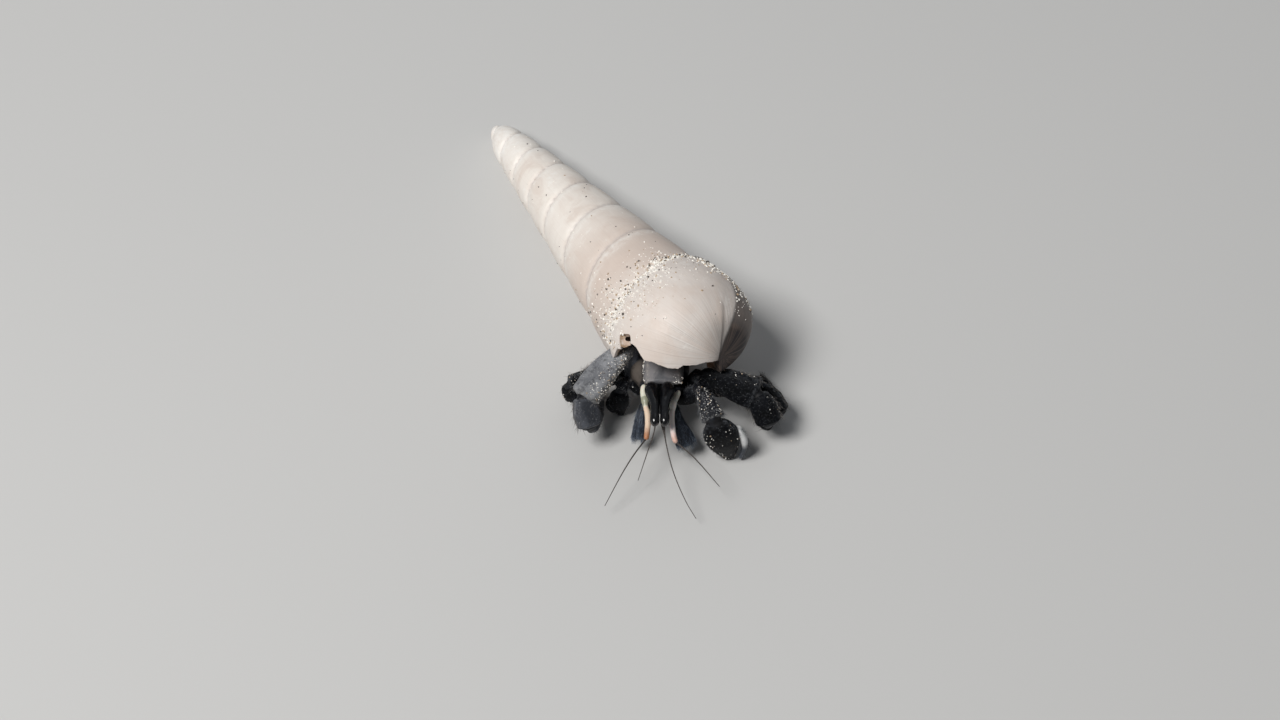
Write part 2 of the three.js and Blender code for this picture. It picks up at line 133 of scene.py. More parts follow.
class Tree:
    """The nodes of one material."""

    def __init__(self, name: str) -> None:
        """Starts an empty material.

        Args:
            name: the material's name.
        """
        self.material = bpy.data.materials.new(name)
        self.material.use_nodes = True
        self.nodes = self.material.node_tree.nodes
        self.links = self.material.node_tree.links
        self.nodes.clear()

    def add(self, kind: str, settings: Optional[dict[str, Any]] = None,
            inputs: Optional[dict[Union[str, int], Source]] = None) -> bpy.types.Node:
        """Adds a node.

        Args:
            kind: the node's type.
            settings: its properties, set first.
            inputs: values or links of its sockets, by name or place.

        Returns:
            The node.
        """
        node = self.nodes.new(kind)
        for key, value in (settings or {}).items():
            setattr(node, key, value)
        for key, value in (inputs or {}).items():
            source = value.socket if isinstance(value, Value) else value
            if isinstance(source, bpy.types.NodeSocket):
                self.links.new(source, node.inputs[key])
            else:
                node.inputs[key].default_value = source
        return node

    def place(self) -> bpy.types.NodeSocket:
        """The place on the object, in millimetres."""
        coordinates = self.add("ShaderNodeTexCoord").outputs["Object"]
        return self.scaled(coordinates, (1 / MM,) * 3)

    def attribute(self, name: str) -> bpy.types.Node:
        """The node that reads one of the mesh's own attributes."""
        return self.add("ShaderNodeAttribute", {"attribute_name": name})

    def number(self, name: str) -> Value:
        """A number that the mesh carries."""
        return Value(self, self.attribute(name).outputs["Fac"])

    def scaled(self, vector: bpy.types.NodeSocket, scale: Point) -> bpy.types.NodeSocket:
        """A vector times a scale, axis by axis."""
        settings = {"operation": "MULTIPLY"}
        return self.add("ShaderNodeVectorMath", settings, {0: vector, 1: scale}).outputs[0]

    def noise(self, vector: bpy.types.NodeSocket, size: float, detail: float = 3.0,
              roughness: float = 0.55, distortion: float = 0.0) -> Value:
        """Cloudy noise.

        Args:
            vector: where to read it, in millimetres.
            size: size of its patches, in millimetres.
            detail: how many finer layers it has.
            roughness: how strong they are.
            distortion: how much it is stirred.

        Returns:
            A number round 0.5.
        """
        inputs = {"Vector": vector, "Scale": 1 / size, "Detail": detail, "Roughness": roughness,
                  "Distortion": distortion}
        return Value(self, self.add("ShaderNodeTexNoise", None, inputs).outputs["Fac"])

    def cells(self, vector: bpy.types.NodeSocket, size: float, randomness: float = 1.0) -> Value:
        """Distance to the nearest of scattered points, 0 at the point.

        Args:
            vector: where to read it, in millimetres.
            size: spacing of the points, in millimetres.
            randomness: 0 sets them in a grid.

        Returns:
            The distance in spacings.
        """
        inputs = {"Vector": vector, "Scale": 1 / size, "Randomness": randomness}
        return Value(self, self.add("ShaderNodeTexVoronoi", None, inputs).outputs["Distance"])

    def mix(self, share: Union[Value, float], first: Source, second: Source) -> bpy.types.NodeSocket:
        """Mixes two colours.

        Args:
            share: how much of the second.
            first: a colour.
            second: another colour.

        Returns:
            The mixed colour.
        """
        settings = {"data_type": "RGBA", "clamp_factor": True}
        return self.add("ShaderNodeMix", settings, {0: share, 6: first, 7: second}).outputs[2]

    def bump(self, height: Value, depth: float, strength: float = 1.0,
             under: Optional[bpy.types.NodeSocket] = None) -> bpy.types.NodeSocket:
        """A Bump node's normal.

        Args:
            height: the relief, 0 to 1.
            depth: its depth in millimetres.
            strength: how much of it shows.
            under: the normal of a relief below it.

        Returns:
            The normal.
        """
        inputs: dict = {"Height": height, "Distance": depth * MM, "Strength": strength}
        if under is not None:
            inputs["Normal"] = under
        return self.add("ShaderNodeBump", None, inputs).outputs["Normal"]

    def finish(self, inputs: dict[str, Source]) -> bpy.types.Material:
        """Ends the material with its shader.

        Args:
            inputs: the Principled shader's sockets.

        Returns:
            The material.
        """
        shader = self.add("ShaderNodeBsdfPrincipled", None, inputs)
        self.add("ShaderNodeOutputMaterial", None, {"Surface": shader.outputs[0]})
        return self.material


# ---------------------------------------------------------------- finishes


def rgb(red: float, green: float, blue: float) -> Color:
    """A colour given as it looks on a screen, 0 to 255, turned to light."""
    def light(level: float) -> float:
        """One channel."""
        share = level / 255
        return share / 12.92 if share <= 0.04045 else ((share + 0.055) / 1.055) ** 2.4
    return light(red), light(green), light(blue), 1.0


@dataclass(frozen=True)
class ShellFinish:
    """Worn auger shell: cream, with growth lines, paler sutures and a pinkish grey last whorl, with painted
    shade on its far side, in its creases and in its hollows.
    """

    spire: Color = rgb(240, 233, 225)
    body: Color = rgb(222, 213, 206)
    warm: Color = rgb(213, 196, 184)
    pale: Color = rgb(248, 245, 240)
    # Older shell past the growth break is darker pinkish grey; this colour is also darkened further as
    # painted shade on the far side.
    side: Color = rgb(97, 86, 80)
    # Painted shade: the darkest shade, low on the far side of the body whorl, in the crease lines and in the
    # recess hole.
    deep_side: Color = rgb(36, 31, 34)
    # Suture band colour: grey of sand, and painted shade in the suture.
    band: Color = rgb(182, 176, 174)
    line: Color = rgb(150, 138, 130)
    mouth: Color = rgb(196, 170, 150)
    stain: Color = rgb(152, 124, 96)
    speck: Color = rgb(60, 54, 50)

    def material(self) -> bpy.types.Material:
        """Builds the material."""
        tree = Tree("shell_worn_cream")
        place = tree.place()
        around = tree.attribute("growth").outputs["Vector"]
        fine = tree.noise(tree.scaled(around, (70.0, 70.0, 0.12)), 1.0, 3.0, 0.6, 0.2)
        broad = tree.noise(tree.scaled(around, (15.0, 15.0, 0.06)), 1.0, 3.0, 0.55, 0.5)
        cloud = tree.noise(place, 5.5, 4.0, 0.6, 0.8)
        mottle = tree.noise(place, 0.9, 4.0, 0.65)
        forward = tree.number("forward")
        lines = tree.number("lined")

        color = tree.mix(forward, self.spire, self.body)
        color = tree.mix(cloud.above(0.42, 0.72) * 0.6, color, self.warm)
        color = tree.mix(tree.number("older") * 0.7, color, self.warm)
        # Pale band along the sutures and a pale ring in the recess, with painted light that brightens the tip
        # of the spire.
        color = tree.mix(tree.number("pale_band") * mottle.above(0.2, 0.75), color, self.pale)
        color = tree.mix(cloud.above(0.45, 0.3) * mottle.above(0.4, 0.65) * 0.6, color, self.pale)
        # Older shell past the growth break, with painted shade on the far side of the body whorl and on the
        # lobe under the lip.
        color = tree.mix(tree.number("old_side") * 0.9, color, self.side)
        # Suture band: partly sand, partly painted shade in the suture and in the hollow in front of the last
        # suture.
        color = tree.mix(tree.number("suture") * mottle.above(0.2, 0.55) * 0.6, color, self.band)
        color = tree.mix(fine.above(0.52, 0.68) * lines * 0.6, color, self.line)
        color = tree.mix(fine.above(0.46, 0.32) * lines * 0.5, color, self.pale)
        color = tree.mix(broad.above(0.52, 0.64) * lines * 0.45, color, self.warm)
        specks = tree.cells(place, 1.6).above(0.075, 0.035)
        color = tree.mix(specks * tree.noise(place, 6.0).above(0.5, 0.6) * 0.7, color, self.speck)
        inside = tree.number("inside")
        color = tree.mix(inside * 0.85, color, self.mouth)
        color = tree.mix(tree.number("stain") * mottle.above(0.2, 0.5), color, self.stain)
        # Painted shade over the low far side, the creases and the recess hole, broken a little by the
        # growth-line pleats.
        pleats = 0.86 + broad.above(0.56, 0.44) * 0.14
        color = tree.mix(tree.number("deep_side") * pleats, color, self.deep_side)

        relief = tree.bump(fine * lines + mottle * 0.3, 0.045, 0.7)
        relief = tree.bump(broad * lines * 0.5 + cloud * 0.4, 0.14, 0.6, relief)
        pits = tree.cells(place, 0.45).above(0.0, 0.35)
        relief = tree.bump(pits * tree.noise(place, 3.0).above(0.5, 0.65), 0.03, 0.5, relief)
        return tree.finish({
            "Base Color": color,
            "Roughness": 0.46 + mottle * 0.22 + inside * 0.1 - broad * 0.08,
            "Coat Weight": (1 - inside) * mottle.above(0.75, 0.35) * 0.08,
            "Coat Roughness": 0.3,
            "IOR": 1.5,
            "Normal": relief,
        })


@dataclass(frozen=True)
class PlateFinish:
    """Horny plate with granules: dark, with pale worn grain tips and a broad colour drift."""

    name: str
    base: Color
    drift: Color
    grain: Color
    grains: float = 0.4
    grain_size: float = 0.3
    relief: float = 0.05
    smooth: float = 0.42
    gloss: float = 0.2
    shine: float = 0.3
    frost: float = 0.0
    blotches: float = 0.0
    dusky_end: float = 0.0
    dark: Color = rgb(14, 15, 18)

    def material(self) -> bpy.types.Material:
        """Builds the material."""
        tree = Tree(self.name)
        place = tree.place()
        drift = tree.noise(place, 2.6, 4.0, 0.6, 0.6)
        fine = tree.noise(place, 0.32, 4.0, 0.7)
        rough_part = tree.number("rough")
        domes = tree.cells(place, self.grain_size)
        worn = tree.noise(place, 1.1, 3.0, 0.6).above(0.38, 0.62)
        tips = domes.above(0.4, 0.1) * rough_part * worn
        color = tree.mix(drift.above(0.36, 0.66), self.base, self.drift)
        color = tree.mix(fine.above(0.52, 0.75) * 0.3, color, self.grain)
        color = tree.mix(tips * fine.above(0.35, 0.6) * self.grains, color, self.grain)
        color = tree.mix(tree.number("edge") * fine.above(0.35, 0.6) * 0.6, color, self.grain)
        color = tree.mix(rough_part * fine.above(0.15, 0.4) * self.frost, color, self.grain)
        blotch = tree.noise(place, 0.75, 4.0, 0.75)
        color = tree.mix(blotch.above(0.5, 0.64) * self.blotches, color, self.dark)
        color = tree.mix(tree.number("share").above(0.4, 0.95) * self.dusky_end, color, self.dark)
        relief = tree.bump(domes.above(0.5, 0.0) * rough_part * worn, self.relief, 0.8)
        relief = tree.bump(fine, 0.025, 0.6, relief)
        return tree.finish({
            "Base Color": color,
            "Roughness": self.smooth + fine * 0.2 + tips * 0.25 + rough_part * 0.08,
            "Coat Weight": (1 - rough_part) * self.gloss,
            "Coat Roughness": 0.2,
            "Specular IOR Level": self.shine,
            "Normal": relief,
        })


@dataclass(frozen=True)
class EyeFinish:
    """Wet black horn; facets grow a honeycomb on the cornea."""

    name: str
    dark: Color
    bloom: Color
    facets: bool = False

    def material(self) -> bpy.types.Material:
        """Builds the material."""
        tree = Tree(self.name)
        place = tree.place()
        drift = tree.noise(place, 0.8, 3.0)
        color = tree.mix(drift.above(0.45, 0.75) * 0.6, self.dark, self.bloom)
        if self.facets:
            relief = tree.bump(tree.cells(place, 0.085, 0.25).above(0.6, 0.0), 0.008, 0.5)
        else:
            relief = tree.bump(tree.noise(place, 0.25, 3.0), 0.02, 0.5)
        return tree.finish({
            "Base Color": color,
            "Roughness": 0.16 + drift * 0.16,
            "Coat Weight": 0.5 + drift * 0.3,
            "Coat Roughness": 0.06,
            "Normal": relief,
        })


@dataclass(frozen=True)
class PeduncleFinish:
    """Smooth feeler base: greenish grey, then cream, then an orange tip."""

    name: str
    root: Color
    middle: Color
    length: Color
    tip: Color

    def material(self) -> bpy.types.Material:
        """Builds the material."""
        tree = Tree(self.name)
        place = tree.place()
        share = tree.number("share")
        fine = tree.noise(place, 0.3, 4.0, 0.6)
        wobble = share + (fine - 0.5) * 0.06
        color = tree.mix(wobble.above(0.2, 0.26), self.root, self.middle)
        color = tree.mix(wobble.above(0.38, 0.42), color, self.length)
        color = tree.mix(wobble.above(0.72, 0.97), color, self.tip)
        color = tree.mix(tree.number("joint") * 0.6, color, self.root)
        return tree.finish({
            "Base Color": color,
            "Roughness": 0.32 + fine * 0.2,
            "Coat Weight": 0.2 + fine * 0.2,
            "Coat Roughness": 0.15,
            "Subsurface Weight": 0.15,
            "Subsurface Radius": (0.0006, 0.0003, 0.0002),
            "Normal": tree.bump(fine, 0.02, 0.5),
        })


@dataclass(frozen=True)
class FeelerFinish:
    """Ringed dark feeler."""

    dark: Color = rgb(52, 46, 44)
    ring: Color = rgb(128, 116, 106)
    rings: float = 60.0

    def material(self) -> bpy.types.Material:
        """Builds the material."""
        tree = Tree("feeler_ringed")
        share = tree.number("share")
        bands = (share * (self.rings * 2 * math.pi)).sine().above(0.1, 0.9)
        fine = tree.noise(tree.place(), 0.4, 3.0)
        color = tree.mix(bands * fine.above(0.3, 0.7) * 0.7, self.dark, self.ring)
        return tree.finish({
            "Base Color": color,
            "Roughness": 0.35 + fine * 0.25,
            "Normal": tree.bump(bands, 0.02, 0.8),
        })


@dataclass(frozen=True)
class FleshFinish:
    """Leathery skin of the trunk and of the folds between plates."""

    dark: Color = rgb(14, 14, 17)
    blue: Color = rgb(26, 30, 39)
    tan: Color = rgb(88, 81, 75)

    def material(self) -> bpy.types.Material:
        """Builds the material."""
        tree = Tree("flesh_leathery")
        place = tree.place()
        drift = tree.noise(place, 1.7, 4.0, 0.6, 0.5)
        fine = tree.noise(place, 0.22, 4.0, 0.7)
        creases = tree.cells(place, 0.35).above(0.0, 0.4)
        color = tree.mix(drift.above(0.4, 0.65), self.dark, self.blue)
        color = tree.mix(tree.number("flank") * drift.above(0.15, 0.5), color, self.tan)
        color = tree.mix(fine.above(0.55, 0.8) * 0.3, color, self.tan)
        relief = tree.bump(creases, 0.035, 0.6)
        return tree.finish({
            "Base Color": color,
            "Roughness": 0.42 + fine * 0.25,
            "Coat Weight": drift * 0.15,
            "Coat Roughness": 0.25,
            "Specular IOR Level": 0.3,
            "Normal": tree.bump(fine, 0.02, 0.5, relief),
        })


@dataclass(frozen=True)
class BristleFinish:
    """Bristles, darker at the root."""

    name: str
    root: Color
    tip: Color

    def material(self) -> bpy.types.Material:
        """Builds the material."""
        tree = Tree(self.name)
        drift = tree.noise(tree.place(), 0.7, 3.0)
        color = tree.mix(tree.number("tone") * drift.above(0.2, 0.7), self.root, self.tip)
        return tree.finish({"Base Color": color, "Roughness": 0.4 + drift * 0.25})


@dataclass(frozen=True)
class SandFinish:
    """Sand grains: quartz white, tan and dark, one tone for each grain."""

    quartz: Color = rgb(250, 247, 240)
    tan: Color = rgb(186, 164, 138)
    black: Color = rgb(86, 79, 74)

    def material(self) -> bpy.types.Material:
        """Builds the material."""
        tree = Tree("sand_grains")
        tone = tree.number("tone")
        fine = tree.noise(tree.place(), 0.12, 3.0)
        color = tree.mix(tone.above(0.3, 0.36), self.black, self.tan)
        color = tree.mix(tone.above(0.5, 0.56), color, self.quartz)
        color = tree.mix(fine.above(0.55, 0.75) * 0.3, color, self.tan)
        return tree.finish({
            "Base Color": color,
            "Roughness": 0.22 + fine * 0.3,
            "Normal": tree.bump(fine, 0.02, 0.6),
        })


@dataclass(frozen=True)
class FloorFinish:
    """Plain pale studio floor."""

    pale: Color = rgb(205, 205, 204)
    shade: Color = rgb(198, 198, 197)

    def material(self) -> bpy.types.Material:
        """Builds the material."""
        tree = Tree("studio_floor")
        drift = tree.noise(tree.place(), 300.0, 2.0)
        color = tree.mix(drift, self.pale, self.shade)
        return tree.finish({"Base Color": color, "Roughness": 0.8})


# ---------------------------------------------------------------- shape helpers


def smooth(value: Array, low: float, high: float) -> Array:
    """A smooth step from 0 at low to 1 at high."""
    share = np.clip((np.asarray(value, float) - low) / (high - low), 0.0, 1.0)
    return share * share * (3 - 2 * share)


def unit(vectors: Array) -> Array:
    """Vectors made one long."""
    vectors = np.asarray(vectors, float)
    return vectors / np.maximum(np.linalg.norm(vectors, axis=-1, keepdims=True), 1e-12)


def sizes_at(sizes: Sequence[float], share: Array) -> Array:
    """Blends evenly spaced sizes along 0..1 by smooth cubic spans."""
    table = np.asarray(sizes, float)
    slopes = np.gradient(table)
    place = np.clip(share, 0, 1) * (len(table) - 1)
    low = np.minimum(np.floor(place).astype(int), len(table) - 2)
    part = place - low
    rise = table[low + 1] - table[low]
    bend = (slopes[low] - rise) * (1 - part) + (rise - slopes[low + 1]) * part
    return table[low] + rise * part + part * (1 - part) * bend


def rough_noise(points: Array, size: float, seed: float = 0.0) -> Array:
    """Smooth noise at points, between -1 and 1.

    Args:
        points: places in millimetres.
        size: size of its lumps in millimetres.
        seed: moves the noise elsewhere.

    Returns:
        One number for each point.
    """
    scaled = np.asarray(points, float) / size + seed
    return np.array([noise.noise(Vector(point)) for point in scaled])


class Path:
    """A smooth line through points, read by its length."""

    def __init__(self, points: Sequence[Point], steps: int = 60) -> None:
        """Samples the line.

        Args:
            points: what it passes through, in millimetres.
            steps: samples between two of them.
        """
        knots = np.asarray(points, float)
        padded = np.vstack((2 * knots[0] - knots[1], knots, 2 * knots[-1] - knots[-2]))
        spans = []
        for a, b, c, d in zip(padded, padded[1:], padded[2:], padded[3:]):
            pairs = ((a, b), (b, c), (c, d))
            first, second, third = (math.sqrt(np.linalg.norm(q - p)) for p, q in pairs)
            leave = ((b - a) / first - (c - a) / (first + second) + (c - b) / second) * second
            reach = ((c - b) / second - (d - b) / (second + third) + (d - c) / third) * second
            share = np.linspace(0, 1, steps, endpoint=False)[:, None]
            spans.append(b + leave * share + (3 * (c - b) - 2 * leave - reach) * share ** 2
                         + (2 * (b - c) + leave + reach) * share ** 3)
        self.samples = np.vstack((*spans, knots[-1]))
        lengths = np.linalg.norm(np.diff(self.samples, axis=0), axis=1)
        self.shares = np.concatenate(((0,), np.cumsum(lengths))) / lengths.sum()
        self.length = float(lengths.sum())

    def at(self, share: Array) -> Array:
        """The points at shares of the length."""
        return np.stack([np.interp(share, self.shares, axis) for axis in self.samples.T], axis=-1)

    def along(self, share: Array) -> Array:
        """The directions at shares of the length."""
        step = 0.004
        return unit(self.at(np.minimum(share + step, 1)) - self.at(np.maximum(share - step, 0)))


@dataclass
class Mesh:
    """A mesh being made, with the numbers that its material reads."""

    name: str
    bm: bmesh.types.BMesh

    def positions(self) -> Array:
        """Where the vertices are, in millimetres of the drawing."""
        return np.array([vertex.co for vertex in self.bm.verts]) / MM - DRAWING_TO_FRAME

    def finish(self, material: bpy.types.Material, slot: str, nodes: Sequence[str] = (),
               numbers: Optional[dict[str, Array]] = None) -> bpy.types.Object:
        """Turns the mesh into a piece that rides on the model.

        Args:
            material: what it is dressed in.
            slot: not used; only passed on to dress.
            nodes: the solids that it replaces.
            numbers: an attribute for each name, one row for each vertex.

        Returns:
            The piece.
        """
        mesh = bpy.data.meshes.new(self.name)
        for face in self.bm.faces:
            face.smooth = True
        self.bm.to_mesh(mesh)
        self.bm.free()
        return dress(mesh, material, slot, nodes, numbers)


def dress(mesh: bpy.types.Mesh, material: bpy.types.Material, slot: str, nodes: Sequence[str] = (),
          numbers: Optional[dict[str, Array]] = None) -> bpy.types.Object:
    """Makes a piece of a finished mesh.

    Args:
        mesh: the mesh, in metres, whose name the piece takes.
        material: what it is dressed in.
        slot: not used.
        nodes: the solids that it replaces.
        numbers: an attribute for each name, one row for each vertex.

    Returns:
        The piece.
    """
    for name, rows in (numbers or {}).items():
        rows = np.asarray(rows, np.float32)
        kind, key = ("FLOAT_VECTOR", "vector") if rows.ndim == 2 else ("FLOAT", "value")
        mesh.attributes.new(name, kind, "POINT").data.foreach_set(key, rows.ravel())
    mesh.materials.clear()
    mesh.materials.append(material)
    piece = bpy.data.objects.new(mesh.name, mesh)
    bpy.context.scene.collection.objects.link(piece)
    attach(piece, "root")
    if nodes:
        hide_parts(*nodes)
    triangles = sum(len(face.vertices) - 2 for face in mesh.polygons)
    LOG.info("%s: %d triangles", mesh.name, triangles)
    return piece


def rolled(around: int, along: int, place: Callable[[Array, Array], Array]) -> bmesh.types.BMesh:
    """Rolls a flat grid into a closed body.

    Args:
        around: faces round it.
        along: faces from end to end.
        place: gives points in millimetres for turns in -0.5..0.5 and shares in 0..1.

    Returns:
        The welded mesh, with its faces outwards.
    """
    bm = bmesh.new()
    bm.loops.layers.uv.new("Surface")
    bmesh.ops.create_grid(bm, x_segments=around, y_segments=along, size=0.5, calc_uvs=True)
    flat = np.array([vertex.co for vertex in bm.verts])
    points = place(flat[:, 0], flat[:, 1] + 0.5)
    move(bm.verts, points)
    bmesh.ops.remove_doubles(bm, verts=bm.verts, dist=WELD)
    bmesh.ops.recalc_face_normals(bm, faces=bm.faces)
    return bm


def to_frame(points: Array, floor: bool = True) -> Array:
    """Points of the drawing in metres of the model; with floor, none of them is below it."""
    placed = (np.asarray(points, float) + DRAWING_TO_FRAME) * MM
    if floor:
        placed[:, 2] = np.maximum(placed[:, 2], 0.0)
    return placed


def move(verts: Any, points: Array, floor: bool = True) -> None:
    """Puts vertices at points of the drawing; with floor, none of them goes below it."""
    for vertex, co in zip(verts, to_frame(points, floor)):
        vertex.co = co


def scene_object(name: str, bm: bmesh.types.BMesh) -> bpy.types.Object:
    """Makes an object of a bmesh, which it frees, and links it to the scene."""
    mesh = bpy.data.meshes.new(name)
    bm.to_mesh(mesh)
    bm.free()
    item = bpy.data.objects.new(name, mesh)
    bpy.context.scene.collection.objects.link(item)
    return item


def evaluated(item: bpy.types.Object) -> bpy.types.Mesh:
    """A new mesh of an object with its modifiers applied."""
    bpy.context.view_layer.update()
    graph = bpy.context.evaluated_depsgraph_get()
    return bpy.data.meshes.new_from_object(item.evaluated_get(graph))


def discard(item: bpy.types.Object) -> None:
    """Deletes an object and its mesh."""
    mesh = item.data
    bpy.data.objects.remove(item)
    bpy.data.meshes.remove(mesh)


def small_shape(bm: bmesh.types.BMesh) -> tuple[Array, list[tuple[int, ...]]]:
    """The points and faces of a bmesh, which it frees."""
    bm.verts.index_update()
    points = np.array([vertex.co for vertex in bm.verts])
    faces = [tuple(vertex.index for vertex in face.verts) for face in bm.faces]
    bm.free()
    return points, faces


# ---------------------------------------------------------------- shell


@dataclass(frozen=True)
class Bite:
    """A rounded bite out of the shell, placed in the shell's own frame.

    A square of 0 makes it an egg along the shell's axes, and more makes it a round-edged box that faces
    forwards and up.
    """

    centre: Point
    radii: Point
    square: float = 0.0


@dataclass
class Shell:
    """The auger shell: a slow right-hand coil, worn at the tip and open below at the front."""

    tip: Point = (-21.6, 43.81, 2.3)
    heading: float = 29.66
    slope: float = 9.0
    tip_radius: float = 2.4
    taper: float = 0.139
    worn_from: float = -2.6
    worn_to: float = 4.0
    spiral_offset: float = 37.96
    whorl_growth: float = 1.1333
    last_suture: float = 50.28
    suture_depth: float = 0.28
    suture_width: float = 0.07
    line_depth: float = 0.1
    line_width: float = 0.018
    whorl_bulge: float = 0.18
    body_swell: float = 1.0
    body_swell_run: float = 0.1
    front_to: float = 66.4
    front_full: Point = (55.1, 1.85, 0.393)
    front_lean: Point = (50.0, 1.15, 1.0)
    lean_turns: tuple[float, float] = (0.185, 0.4)
    break_turns: Sequence[tuple[float, float]] = (
        (52.0, 0.17), (55.0, 0.15), (58.9, 0.13), (61.6, 0.121), (63.7, 0.107), (65.1, 0.09), (66.0, 0.067),
        (66.4, 0.05))
    break_step: tuple[float, float] = (0.16, 0.55)
    lip_wall: float = 0.5
    deep_wall: float = 1.7
    mouth_back: float = 53.5
    lip_back: float = 56.4
    mouth_reach: float = 16.0
    lip: Sequence[tuple[float, float]] = (
        (-16.0, 3.95), (-9.2, 3.95), (-8.3, 3.92), (-7.4, 3.55), (-6.6, 3.1), (-5.3, 2.9), (-4.6, 3.33),
        (-3.5, 2.97), (-2.5, 2.8), (-1.5, 2.75), (-0.4, 2.4), (0.6, 2.05), (2.0, 2.0), (4.0, 2.0))
    left_rise: Sequence[tuple[float, float]] = (
        (56.2, -3.2), (56.4, -2.4), (56.8, -0.85), (58.2, 0.0), (58.9, 0.9), (59.5, 1.5), (60.4, 1.3),
        (62.0, 0.0))
    throat: Bite = Bite((-4.2, -2.6, 54.0), (5.2, 5.4, 4.2))
    canal_nick: Bite = Bite((2.7, 3.35, 66.45), (0.3, 0.55, 0.6))
    recess: Bite = Bite((-9.91, 4.95, 58.06), (1.22, 1.2, 1.05), 0.8)
    recess_hole: Bite = Bite((-8.72, 4.23, 57.09), (0.56, 0.36, 1.6), 0.3)
    box_axes: Sequence[Point] = ((1, 0, 0), (0, 0.766, 0.643), (0, -0.643, 0.766))
    crisp_angle: float = 42.0
    slow_lumps: tuple[float, float] = (4.2, 0.07)
    quick_lumps: tuple[float, float] = (1.5, 0.025)
    rib_height: float = 0.03
    pole: float = 1e-4
    vault_end: float = 65.3
    around: int = 204
    along: int = 330

    def axes(self) -> Array:
        """Rows: to the right of the axis, up from it, and along it to the mouth."""
        heading, slope = math.radians(self.heading), math.radians(self.slope)
        front = np.array((math.sin(heading) * math.cos(slope), -math.cos(heading) * math.cos(slope),
                          math.sin(slope)))
        side = np.array((math.cos(heading), math.sin(heading), 0.0))
        return np.stack((side, np.cross(front, side), front))

    def to_drawing(self, local: Array) -> Array:
        """Moves points from the shell's own frame to the drawing."""
        return np.asarray(local, float) @ self.axes() + np.array(self.tip)

    def to_local(self, points: Array) -> Array:
        """Moves points from the drawing to the shell's own frame."""
        return (np.asarray(points, float) - np.array(self.tip)) @ self.axes().T

    def whorl_number(self, z: Array, turn: Array) -> Array:
        """Whorls counted from the last suture; below 0 is the body whorl."""
        reach = (self.last_suture + self.spiral_offset) / (z + self.spiral_offset)
        return np.log(reach) / math.log(self.whorl_growth) - turn

    def front_share(self, z: Array, start: float, power: float, root: float) -> Array:
        """Share of the radius left as the front rounds off to the axis."""
        past = np.clip((z - start) / (self.front_to - start), 0, 1)
        return (1 - past ** power) ** root

    def whorl_radius(self, z: Array, turn: Array) -> Array:
        """Distance from the axis to the whorl that a turn count leads to."""
        whorl = self.whorl_number(z, turn)
        share = whorl - np.floor(whorl)
        gap = np.minimum(share, 1 - share)
        gap = np.where(whorl > 0, gap, np.abs(whorl))
        coil = self.whorl_bulge * np.sin(math.pi * share)
        body = self.body_swell * (1 - np.exp(np.minimum(whorl, 0) / self.body_swell_run))
        radius = self.tip_radius + self.taper * z + np.where(whorl > 0, coil, body)
        radius = radius - self.suture_depth * np.exp(-(gap / self.suture_width) ** 2)
        radius = radius - self.line_depth * np.exp(-(gap / self.line_width) ** 2)
        left = np.clip((self.worn_to - z) / (self.worn_to - self.worn_from), 0, 1)
        radius = radius * np.sqrt(np.maximum(1 - left * left, 0))
        lean = smooth(turn, *self.lean_turns)
        full = self.front_share(z, *self.front_full)
        return radius * (full + (self.front_share(z, *self.front_lean) - full) * lean)

    def radius(self, z: Array, turn: Array) -> Array:
        """Distance from the axis to the shell's outer face."""
        joined = smooth(-turn, 0.25, 0.499)
        own = self.whorl_radius(z, turn)
        return own + (self.whorl_radius(z, turn + 1) - own) * joined

    def break_line(self, z: Array) -> Array:
        """Turn of the growth break on the body whorl, which curls towards the canal."""
        return np.interp(z, *np.array(self.break_turns).T)

    def face(self, z: Array, turn: Array) -> Array:
        """Points on the outer face, with the growth break and the slow lumps of a worn shell."""
        radius = self.radius(z, turn)
        on_body = smooth(z, 53.5, 57.0) * smooth(turn, 0.36, 0.26)
        step = self.break_step[0] + (self.break_step[1] - self.break_step[0]) * smooth(z, 62.0, 66.0)
        radius = radius - step * smooth(turn - self.break_line(z), -0.003, 0.006) * on_body
        angle = turn * 2 * math.pi
        points = np.stack((radius * np.sin(angle), radius * np.cos(angle), z), axis=-1)
        (slow, tall), (quick, low) = self.slow_lumps, self.quick_lumps
        lumps = rough_noise(points, slow) * tall + rough_noise(points, quick, 7.0) * low
        ribs = rough_noise(np.stack((np.sin(angle) * 9, np.cos(angle) * 9, z * 0.06), axis=-1), 0.7, 3.0)
        lumps = lumps + ribs * self.rib_height * smooth(z, 45.0, 56.0)
        shrink = 1 + np.minimum(lumps / np.maximum(radius, 0.5), 0.1)
        return points * np.stack((shrink, shrink, np.ones_like(shrink)), axis=-1)

    def closed_lathe(self, start: float, end: float, around: int, along: int,
                     face: Callable[[Array, Array], Array]) -> bmesh.types.BMesh:
        """A closed body round the axis.

        Args:
            start: where it starts along the axis.
            end: where it ends.
            around: faces round it.
            along: faces along it.
            face: gives its points for heights and turns.

        Returns:
            The mesh, in the drawing.
        """
        def place(turn: Array, share: Array) -> Array:
            """Puts one grid point, closer together at both ends."""
            eased = 0.65 * share + 0.35 * (0.5 - 0.5 * np.cos(math.pi * share))
            points = face(start + (end - start) * eased, turn)
            poles = (share < self.pole) | (share > 1 - self.pole)
            points[poles, :2] = 0.0
            return self.to_drawing(points)
        return rolled(around, along, place)

